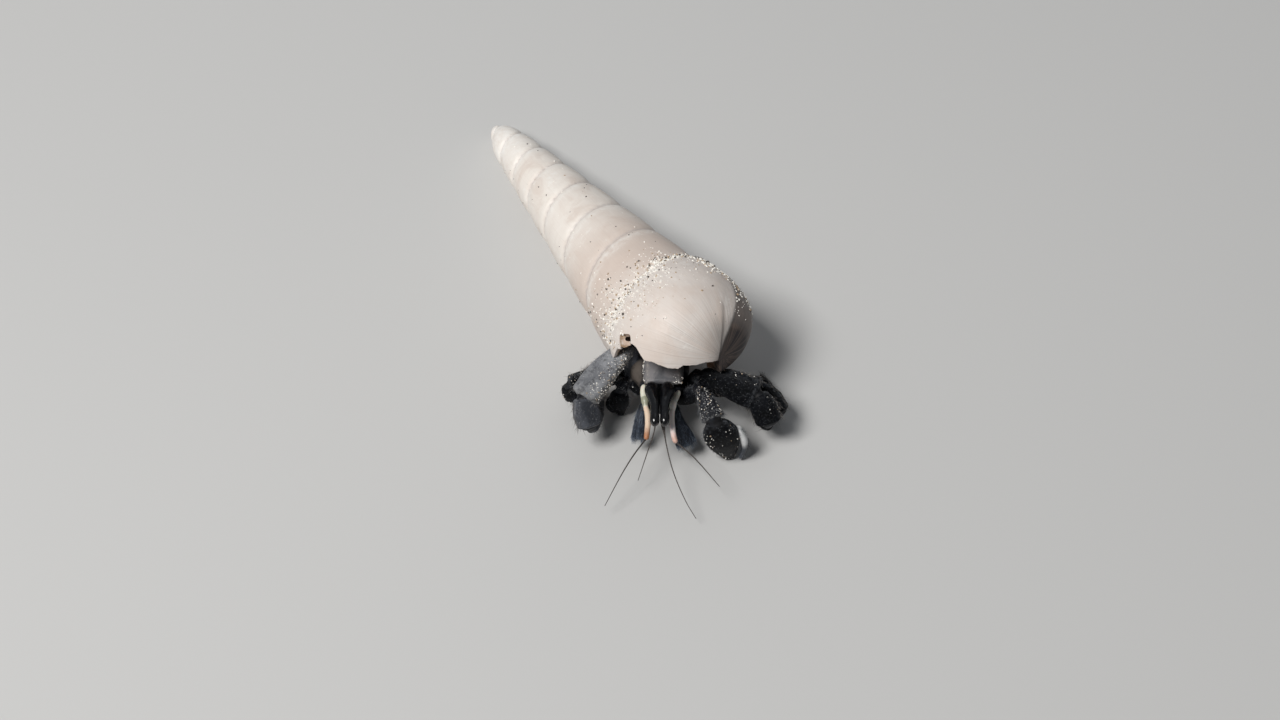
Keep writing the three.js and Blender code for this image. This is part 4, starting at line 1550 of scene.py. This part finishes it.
@dataclass
class Legs:
    """The four walking legs, each of five plates."""

    reach: float = 0.15
    shapes: dict[str, LegShape] = field(default_factory=lambda: {
        "leg2_right": LegShape(((-0.9, -9.1, 5.2), (-1.4, -6.7, 11.5), (-8.2, -14.5, 8.8), (-7.3, -17, 5.2),
                                (-6.2, -11.9, 2.5), (-5.4, -6.2, 0)), (-0.5, 0.35, 0.8), 1.0,
                               (0.76, -0.64, 0.1)),
        "leg3_right": LegShape(((-0.6, -6.6, 4.6), (-2.6, -7.6, 5.2), (-10.4, -9.4, 5.2), (-9.6, -9.8, 2.8),
                                (-8.9, -6.2, 1.6), (-7.4, -1.4, 0)), (-0.4, 0.2, 0.9), 0.76),
        "leg2_left": LegShape(((6.9, -10, 5.4), (8.7, -10.8, 9.2), (17, -14.2, 8.9), (18.9, -16.4, 5.2),
                               (17.4, -11.9, 2.5), (16.2, -6.4, 0)), (0.5, 0.35, 0.8), 1.0),
        "leg3_left": LegShape(((7.1, -8.6, 4.6), (8.9, -10.6, 5.8), (18, -10.5, 6.2), (20.7, -12.9, 3.4),
                               (19.6, -8.3, 1.8), (18, -3, 0)), (0.3, 0.2, 0.9), 0.8),
    })
    segments: Sequence[tuple[str, Sequence[float], Sequence[float], tuple[float, float], float]] = (
        ("ischium", (2, 2.3, 2.2), (2.2, 2.5, 2.6), (0.25, 0.12), 0),
        ("merus", (1.8, 2.2, 2.4, 2.3), (2.3, 3.6, 4.6, 4.5), (0.1, 0.06), 0.4),
        ("carpus", (2.3, 2.8, 2.6), (3.1, 4, 3.7), (0.12, 0.12), 0.25),
        ("propodus", (2, 2.2, 1.7), (2.7, 2.9, 2.1), (0.12, 0.1), 0.2),
        ("dactyl", (1.4, 1.4, 1, 0.6), (1.8, 1.7, 1.2, 0.6), (0.1, 0.06), 0.3),
    )

    def plate(self, leg: str, place: int) -> Plate:
        """One segment between two joints, bowed a little towards its back."""
        shape = self.shapes[leg]
        name, across, deep, ends, bow = self.segments[place]
        start, end = (np.array(shape.joints[place + step], float) for step in (0, 1))
        along = unit(end - start)
        middle = (start + end) / 2 + unit(np.array(shape.faces)) * bow
        start = start - along * self.reach
        if place < len(self.segments) - 1:
            end = end + along * self.reach
        faces = shape.merus_faces if name == "merus" and shape.merus_faces else shape.faces
        return Plate(f"{leg}_{name}", (tuple(start), tuple(middle), tuple(end)),
                     [size * shape.girth for size in across], [size * shape.girth for size in deep],
                     faces, ends, square=0.85 if name == "merus" else 0.55, lumps=0.05,
                     around=48, along=56)

    def dress(self) -> dict[str, Plate]:
        """Builds and dresses the legs.

        Returns:
            The plates that bristles grow on.
        """
        pale, slate, shade_copy = PAINTED_LIT_SLATE.material(), SLATE.material(), PAINTED_SHADE_PLATE.material()
        plates = {}
        for leg in self.shapes:
            for place in range(len(self.segments)):
                plate = self.plate(leg, place)
                # Paler finish on the lit merus is painted light; the crab's left legs take painted shade.
                finish = pale if plate.name == "leg2_right_merus" else slate if leg == "leg2_right" else shade_copy
                plate.dress(finish)
                plates[plate.name] = plate
        return plates


@dataclass
class Claws:
    """The two claw limbs, the left one the larger."""

    shapes: dict[str, dict[str, Any]] = field(default_factory=lambda: {
        "cheliped_left_merus": dict(path=((5.2, -11.8, 5.4), (7.2, -12.7, 7), (8.5, -13.3, 9.3)),
                                    across=(2, 2.4, 2.2), deep=(2, 2.4, 2.2), faces=(0, -1, 0.5)),
        "cheliped_left_carpus": dict(path=((8.5, -13.4, 10), (9.5, -16.3, 10.2), (10.7, -19.2, 9.2)),
                                     across=(0.7, 1.7, 2.8, 3.5), deep=(0.9, 1.9, 2.6, 2.4),
                                     faces=(0, -0.3, 1), ends=(0.1, 0.1), square=0.6),
        "cheliped_left_palm": dict(path=((10.9, -19.3, 8.9), (11.7, -19.3, 6.4), (12.5, -19.1, 3.1),
                                         (13.2, -18.7, -0.4)),
                                   across=(2.9, 4.9, 5.2, 4.2, 2.7, 1), deep=(2.1, 2.9, 2.9, 2.3, 1.4, 0.7),
                                   faces=(0, -1, 0.15), ends=(0.07, 0.06), around=64, along=80,
                                   rough_turns=lambda turn, share: np.clip(
                                       smooth(np.abs(turn), 0.1, 0.2) + smooth(share, 0.25, 0.1), 0, 1)),
        "cheliped_left_dactyl": dict(path=((14.1, -18.6, 7), (15.1, -18.8, 4.8), (15.2, -19, 2.6),
                                           (14.6, -19.2, 0.4)),
                                     across=(0.9, 1.1, 0.9, 0.6), deep=(1.5, 1.7, 1.3, 0.7),
                                     faces=(0, -1, 0.15), ends=(0.14, 0.08), slot="claw_pale",
                                     rough_turns=lambda turn, share: smooth(share, 0.62, 0.4)),
        "cheliped_right_merus": dict(path=((0.6, -10.8, 5.4), (-0.6, -10.1, 6.2), (-1.6, -9.8, 6.8)),
                                     across=(1.7, 2, 1.8), deep=(1.7, 2, 1.8), faces=(0, -1, 0.5)),
        "cheliped_right_carpus": dict(path=((-1.7, -9.8, 6.8), (-2.3, -10.1, 6.7), (-2.8, -10.6, 6)),
                                      across=(1.3, 1.9, 2.2), deep=(1.4, 1.9, 2), faces=(0, -0.3, 1)),
        "cheliped_right_palm": dict(path=((-2.9, -10.7, 5.8), (-3.1, -11, 4), (-3, -10.8, 2),
                                          (-2.8, -10.3, -0.35)),
                                    across=(2, 2.9, 2.9, 2.2, 1.4, 0.7), deep=(1.5, 2, 2, 1.6, 1.1, 0.7),
                                    faces=(0, -1, 0.15), ends=(0.1, 0.06)),
        "cheliped_right_dactyl": dict(path=((-4.1, -10.6, 4.3), (-4.6, -10.7, 2.6), (-4.2, -10.5, 1.2),
                                            (-3.7, -10.2, 0.3)),
                                      across=(0.9, 1, 0.8, 0.6), deep=(1, 1.1, 0.9, 0.6),
                                      faces=(0, -1, 0.15), ends=(0.14, 0.08)),
    })

    def dress(self) -> dict[str, Plate]:
        """Builds and dresses both claw limbs.

        Returns:
            The plates that bristles grow on.
        """
        shade_copy, dusk, ice = PAINTED_SHADE_PLATE.material(), DUSK.material(), ICE.material()
        plates = {}
        for name, shape in self.shapes.items():
            plate = Plate(name, **({"slot": "claw", "square": 0.3, "lumps": 0.05, "margin": 0.25} | shape))
            # Merus and palm plates take the darkest finish, which is painted shade.
            finish = ice if plate.slot == "claw_pale" else dusk if "carpus" in name else shade_copy
            plate.dress(finish)
            plates[name] = plate
        return plates


@dataclass
class Flesh:
    """One skin for the trunk and for the folds between all plates."""

    voxel: float = 0.22
    core_share: float = 0.74
    core_overrun: float = 0.35
    relax_factor: float = 0.5
    relax_rounds: int = 3
    trunk_path: Sequence[Point] = ((2.9, -14, 7.9), (2.8, -9, 7.9), (2.9, -3.6, 8.2))
    root_widths: dict[str, float] = field(default_factory=lambda: {
        "leg": 2.4, "cheliped": 2.4, "eye": 1.5, "antenna": 1.5, "mouth": 3.4})

    def cores(self, plates: dict[str, Plate]) -> list[Plate]:
        """The trunk, and a thinner core inside each limb plate.

        Args:
            plates: the limbs' plates.

        Returns:
            The tubes that the skin goes round.
        """
        cores = [Plate("trunk", self.trunk_path, (4.2, 6, 8.9, 8, 5.4), (3, 4.8, 5.4, 5.2, 4.2),
                       (0, 0, 1), (0.16, 0.3), around=48, along=48)]
        for plate in plates.values():
            if "dactyl" in plate.name:
                continue
            points = [np.array(point, float) for point in plate.path]
            first, last = unit(points[0] - points[1]), unit(points[-1] - points[-2])
            points[0] = points[0] + first * self.core_overrun
            points[-1] = points[-1] + last * self.core_overrun
            across = [size * self.core_share for size in plate.across]
            deep = [size * self.core_share for size in plate.deep]
            cores.append(Plate(plate.name + "_core", [tuple(point) for point in points], across, deep,
                               plate.faces, (0.1, 0.1), lumps=0.0, around=20, along=24))
        roots = {
            "leg2_right": ((1.2, -9.5, 6.2), (-0.9, -9.1, 5.2)),
            "leg3_right": ((1.4, -6.6, 6), (-0.6, -6.6, 4.6)),
            "leg2_left": ((4.8, -9.6, 6.2), (6.9, -10, 5.4)), "leg3_left": ((4.8, -7.5, 6), (7.1, -8.6, 4.6)),
            "cheliped_left": ((4, -11.5, 6.4), (5.4, -11.9, 5.5)),
            "cheliped_right": ((2, -11, 6.4), (0.4, -10.9, 5.5)),
            "eye_left": ((3.7, -11, 9.6), (3.95, -13.6, 10.4)),
            "eye_right": ((2, -11, 9.6), (1.75, -13.6, 10.4)),
            "antenna_left": ((4.6, -11, 8.6), (5.6, -13.6, 8.8)),
            "antenna_right": ((1.2, -11, 8.6), (0.65, -12.8, 8.9)),
            "mouth": ((2.9, -12, 7), (2.9, -15.2, 6.4)),
        }
        for name, path in roots.items():
            width = self.root_widths[name.split("_")[0].rstrip("23")]
            cores.append(Plate(name + "_root", path, (width, width), (width, width), (0.1, 0.2, 1),
                               (0.2, 0.2), lumps=0.0, around=24, along=12))
        return cores

    def dress(self, plates: dict[str, Plate]) -> bpy.types.Object:
        """Wraps one skin round the cores.

        Args:
            plates: the limbs' plates.

        Returns:
            The piece.
        """
        bm = bmesh.new()
        for core in self.cores(plates):
            part = bpy.data.meshes.new(core.name)
            tube = core.build().bm
            tube.to_mesh(part)
            tube.free()
            bm.from_mesh(part)
            bpy.data.meshes.remove(part)
        item = scene_object("flesh_cores", bm)
        remesh = item.modifiers.new("skin", "REMESH")
        remesh.mode = "VOXEL"
        remesh.voxel_size = self.voxel * MM
        relax = item.modifiers.new("relax", "SMOOTH")
        relax.factor = self.relax_factor
        relax.iterations = self.relax_rounds
        mesh = evaluated(item)
        discard(item)
        bm = bmesh.new()
        bm.from_mesh(mesh)
        bpy.data.meshes.remove(mesh)
        skin = Mesh("flesh_skin", bm)
        points = skin.positions()
        move(bm.verts, points)
        x, y, z = points.T
        # Tan flank only on the crab's right side; its left flank keeps the dark skin as painted shade.
        flank = smooth(x, 0.9, -0.2) * smooth(x, -1.7, -1.1) * smooth(z, 7.0, 8.0)
        flank = flank * smooth(y, -12.0, -11.2) * smooth(y, -8.1, -8.8)
        return skin.finish(FleshFinish().material(), "flank", ("thorax",), {"flank": flank})


# ---------------------------------------------------------------- hair and sand


ALL_ROUND = (-0.5, 0.5)
FINE = 0.028
LEG_HAIR = {"ischium": 0.3, "merus": 1.0, "carpus": 0.9, "propodus": 0.9, "dactyl": 1.0}
CLAW_HAIR = {"left": 1.0, "right": 0.5}


def grow_leg_bristles(plates: dict[str, Plate]) -> None:
    """Sets the legs' bristles: two rows of long ones, short ones all round, and a thick run on one edge.

    Args:
        plates: every plate, by name.
    """
    legs = Bristles("bristles_legs", "leg", seed=11)
    for name, plate in plates.items():
        if not name.startswith("leg"):
            continue
        scale = LEG_HAIR[name.split("_")[-1]]
        for turn in (0.0, 0.5):
            legs.grow(plate, Fringe((turn - 0.035, turn + 0.035), (0.08, 0.97), int(46 * scale), (0.5, 1.3),
                                    0.55, 0.03))
        legs.grow(plate, Fringe(ALL_ROUND, (0.06, 0.97), int(90 * scale), (0.15, 0.45), 0.7, FINE))
    legs.grow(plates["leg2_right_merus"],
              Fringe((0.44, 0.52), (0.02, 0.6), 130, (0.25, 0.6), 0.3, 0.03, 0.4))
    legs.dress(BristleFinish("bristle_grey", rgb(62, 60, 62), rgb(176, 171, 165)))


def grow_claw_bristles(plates: dict[str, Plate]) -> None:
    """Sets the claws' bristles, half as many on the small claw, with a pale run on the large one's carpus.

    Args:
        plates: every plate, by name.
    """
    claws = Bristles("bristles_claws", "claw", seed=23)
    for name, plate in plates.items():
        if not name.startswith("cheliped"):
            continue
        scale = CLAW_HAIR[name.split("_")[1]]
        for turn in (-0.25, 0.25):
            claws.grow(plate, Fringe((turn - 0.05, turn + 0.05), (0.05, 0.95), int(70 * scale), (0.3, 0.9),
                                     0.5, 0.03))
        claws.grow(plate, Fringe(ALL_ROUND, (0.05, 0.95), int(120 * scale), (0.12, 0.35), 0.6, FINE))
    claws.grow(plates["cheliped_left_carpus"],
               Fringe((-0.4, -0.12), (0.35, 0.98), 150, (0.3, 0.8), 0.5, 0.03, 0.3))
    claws.dress(BristleFinish("bristle_blue", rgb(58, 62, 70), rgb(168, 170, 173)))


def grow_mouth_bristles(plates: dict[str, Plate]) -> None:
    """Sets the mouthparts' brushes and a few bristles on the feelers' bases.

    Args:
        plates: every plate, by name.
    """
    mouth = Bristles("bristles_mouth", "mouthpart", seed=37)
    for name in ("maxilliped_left", "maxilliped_right"):
        mouth.grow(plates[name], Fringe(ALL_ROUND, (0.1, 0.98), 620, (0.4, 1.0), 0.85, FINE, 0.14))
        mouth.grow(plates[name], Fringe(ALL_ROUND, (0.8, 0.99), 160, (0.5, 1.0), 0.9, FINE, 0.18))
    for name in ("antenna_left_peduncle", "antenna_right_peduncle"):
        mouth.grow(plates[name], Fringe(ALL_ROUND, (0.3, 0.98), 26, (0.2, 0.5), 0.5, 0.02, 0.2))
    mouth.dress(BristleFinish("bristle_mouth", rgb(52, 60, 74), rgb(146, 158, 174)))


@dataclass(frozen=True)
class Drift:
    """Sand along the shell's last suture, between two turns.

    The mean and spread in off are millimetres from the suture: to both sides of it, or only to the side
    that way gives, 1 towards the mouth and -1 towards the tip.
    """

    turns: tuple[float, float]
    count: int
    off: tuple[float, float]
    way: int = 0
    sizes: tuple[float, float] = (0.07, 0.22)
    dark: float = 0.1


@dataclass
class ShellSand:
    """The grains that cling to the shell."""

    shell: Shell
    rng: np.random.Generator = field(default_factory=lambda: np.random.default_rng(5))
    grains: Grains = field(default_factory=lambda: Grains("sand_on_shell", "shell", seed=3))
    rim: Sequence[tuple[float, float]] = (
        (50.5, 0.1), (52.2, 0.112), (55.1, 0.119), (57.5, 0.145), (58.9, 0.179), (61.4, 0.193))

    def scatter(self, z: Array, turn: Array, sizes: tuple[float, float], dark: float) -> None:
        """Adds grains at heights and turns of the shell's face."""
        self.grains.scatter(self.shell.to_drawing(self.shell.face(z, turn)), sizes, dark)

    def drift(self, drift: Drift) -> None:
        """Adds one drift."""
        shell = self.shell
        turn = self.rng.uniform(*drift.turns, drift.count)
        off = self.rng.normal(*drift.off, drift.count)
        off = drift.way * np.abs(off) if drift.way else off
        reach = shell.whorl_growth ** -turn
        suture = (shell.last_suture + shell.spiral_offset) * reach - shell.spiral_offset
        self.scatter(suture + off, turn, drift.sizes, drift.dark)

    def at_break(self, count: int) -> None:
        """Adds grains that lie against the growth break."""
        z = self.rng.uniform(54.5, 63.5, count)
        turn = self.shell.break_line(z) + np.abs(self.rng.normal(0.01, 0.02, count))
        self.scatter(z, turn, (0.07, 0.22), 0.1)

    def on_rim(self, count: int) -> None:
        """Adds grains along the swell of the body whorl."""
        z = self.rng.uniform(50.5, 61.5, count)
        turn = np.interp(z, *np.array(self.rim).T) + self.rng.normal(0.004, 0.014, count)
        self.scatter(z, turn, (0.07, 0.23), 0.08)

    def dress(self) -> None:
        """Sets all the grains, in a fixed order, and dresses them."""
        self.drift(Drift((-0.27, 0.16), 400, (0.15, 0.65), sizes=(0.07, 0.24)))
        self.drift(Drift((-0.02, 0.2), 800, (0.1, 0.42), sizes=(0.08, 0.26)))
        self.at_break(70)
        self.drift(Drift((-0.22, 0.0), 260, (0.6, 2.6), 1))
        self.drift(Drift((-0.26, -0.1), 240, (0.6, 3.2), -1))
        self.drift(Drift((-0.12, 0.05), 130, (0.6, 2.0), -1, dark=0.15))
        self.on_rim(420)
        self.drift(Drift((-0.17, 0.1), 280, (1.0, 3.6), 1, dark=0.06))
        z = self.rng.uniform(5, 62, 150)
        self.scatter(z, self.rng.uniform(-0.3, 0.3, 150), (0.05, 0.15), 0.4)
        self.grains.dress()


@dataclass
class CrabSand:
    """The grains that cling to the crab's plates, drawn after the shell's."""

    rng: np.random.Generator
    head: Head
    counts: dict[str, int] = field(default_factory=lambda: {
        "leg2_right_merus": 420, "leg3_right_merus": 60, "leg3_right_carpus": 30, "cheliped_left_carpus": 110,
        "cheliped_left_palm": 60, "shield": 110, "leg2_left_merus": 40, "leg2_left_carpus": 25})
    sizes: tuple[float, float] = (0.04, 0.12)
    dark: float = 0.15
    left_share: float = 0.6
    left_run: float = 3.6

    def on_shield(self, count: int, share: Array) -> tuple[Array, Array]:
        """Turns on the shield's two flanks, and shares that run further back on its left."""
        on_left = self.rng.random(count) < self.left_share
        left, right = -self.rng.uniform(0.17, 0.24, count), self.rng.uniform(0.08, 0.24, count)
        return np.where(on_left, left, right), np.where(on_left, share * self.left_run, share)

    def dress(self, plates: dict[str, Plate]) -> None:
        """Sets all the grains and dresses them.

        Args:
            plates: every plate, by name.
        """
        grains = Grains("sand_on_crab", "leg", seed=9)
        for name, count in self.counts.items():
            shield = name == "shield"
            turn = self.rng.uniform(-0.22, 0.22, count)
            share = self.rng.uniform(*((0.0, 0.2) if shield else (0.1, 0.95)), count)
            if shield:
                turn, share = self.on_shield(count, share)
            places = plates[name].surface(turn, share, 0.02)
            if shield:
                places[:, 2] -= self.head.arch(places)
            grains.scatter(places, self.sizes, self.dark)
        grains.dress()


# ---------------------------------------------------------------- studio


@dataclass
class Studio:
    """Floor, lights and camera."""

    distance: float = 560.0
    elevation: float = 50.0
    pixel: float = 0.15
    image_width: int = 1280
    sensor: float = 36.0
    floor_half: float = 2.5
    sky: Color = (0.9, 0.94, 1.0, 1.0)
    sky_strength: float = 0.13
    lamps: Sequence[tuple[str, Point, float, float, Point]] = (
        ("key", (-0.375, -0.3, 0.75), 0.32, 7.1, (1.0, 0.985, 0.965)),
        ("fill", (0.1, 0.7, 0.7), 0.9, 1.0, (0.96, 0.98, 1.0)))

    def floor(self) -> None:
        """A pale floor that runs out of view."""
        bm = bmesh.new()
        bmesh.ops.create_grid(bm, x_segments=8, y_segments=8, size=self.floor_half)
        floor = scene_object("studio_floor", bm)
        floor.data.materials.append(FloorFinish().material())

    def light(self, name: str, place: Point, size: float, power: float, color: Point) -> None:
        """A soft square light that looks at the model.

        Args:
            name: its name.
            place: where it hangs, in metres.
            size: its side in metres.
            power: in watts.
            color: of its light.
        """
        data = bpy.data.lights.new(name, "AREA")
        data.shape = "SQUARE"
        data.size = size
        data.energy = power
        data.color = color
        lamp = bpy.data.objects.new(name, data)
        lamp.location = place
        lamp.rotation_euler = Vector(place).to_track_quat("Z", "Y").to_euler()
        bpy.context.scene.collection.objects.link(lamp)

    def camera(self) -> None:
        """The camera, which looks down at the drawing's zero point."""
        data = bpy.data.cameras.new("camera")
        data.sensor_width = self.sensor
        data.lens = self.sensor * self.distance / (self.pixel * self.image_width)
        data.clip_start = 0.01
        camera = bpy.data.objects.new("camera", data)
        tilt = math.radians(self.elevation)
        away = np.array((0, -math.cos(tilt), math.sin(tilt))) * self.distance
        camera.location = Vector((away + DRAWING_TO_FRAME) * MM)
        camera.rotation_euler = (math.pi / 2 - tilt, 0, 0)
        bpy.context.scene.collection.objects.link(camera)
        bpy.context.scene.camera = camera

    def build(self) -> None:
        """Sets up the whole studio."""
        self.camera()
        self.floor()
        for lamp in self.lamps:
            self.light(*lamp)
        world = bpy.data.worlds.new("studio")
        world.use_nodes = True
        background = world.node_tree.nodes["Background"]
        background.inputs["Color"].default_value = self.sky
        background.inputs["Strength"].default_value = self.sky_strength
        bpy.context.scene.world = world
        bpy.context.scene.view_settings.view_transform = "Standard"


def main() -> None:
    """Builds the crab and its studio, in order."""
    logging.basicConfig(level=logging.INFO, format="%(name)s %(message)s")
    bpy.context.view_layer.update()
    Studio().build()
    shell = Shell()
    shell.dress(shell.build())
    head, legs, claws = Head(), Legs(), Claws()
    head_plates = head.dress()
    limbs = legs.dress() | claws.dress()
    Flesh().dress(limbs)
    plates = head_plates | limbs | {"shield": head.shield()}
    grow_leg_bristles(plates)
    grow_claw_bristles(plates)
    grow_mouth_bristles(plates)
    shell_sand = ShellSand(shell)
    shell_sand.dress()
    CrabSand(shell_sand.rng, head).dress(plates)


if __name__ == "__main__":
    main()
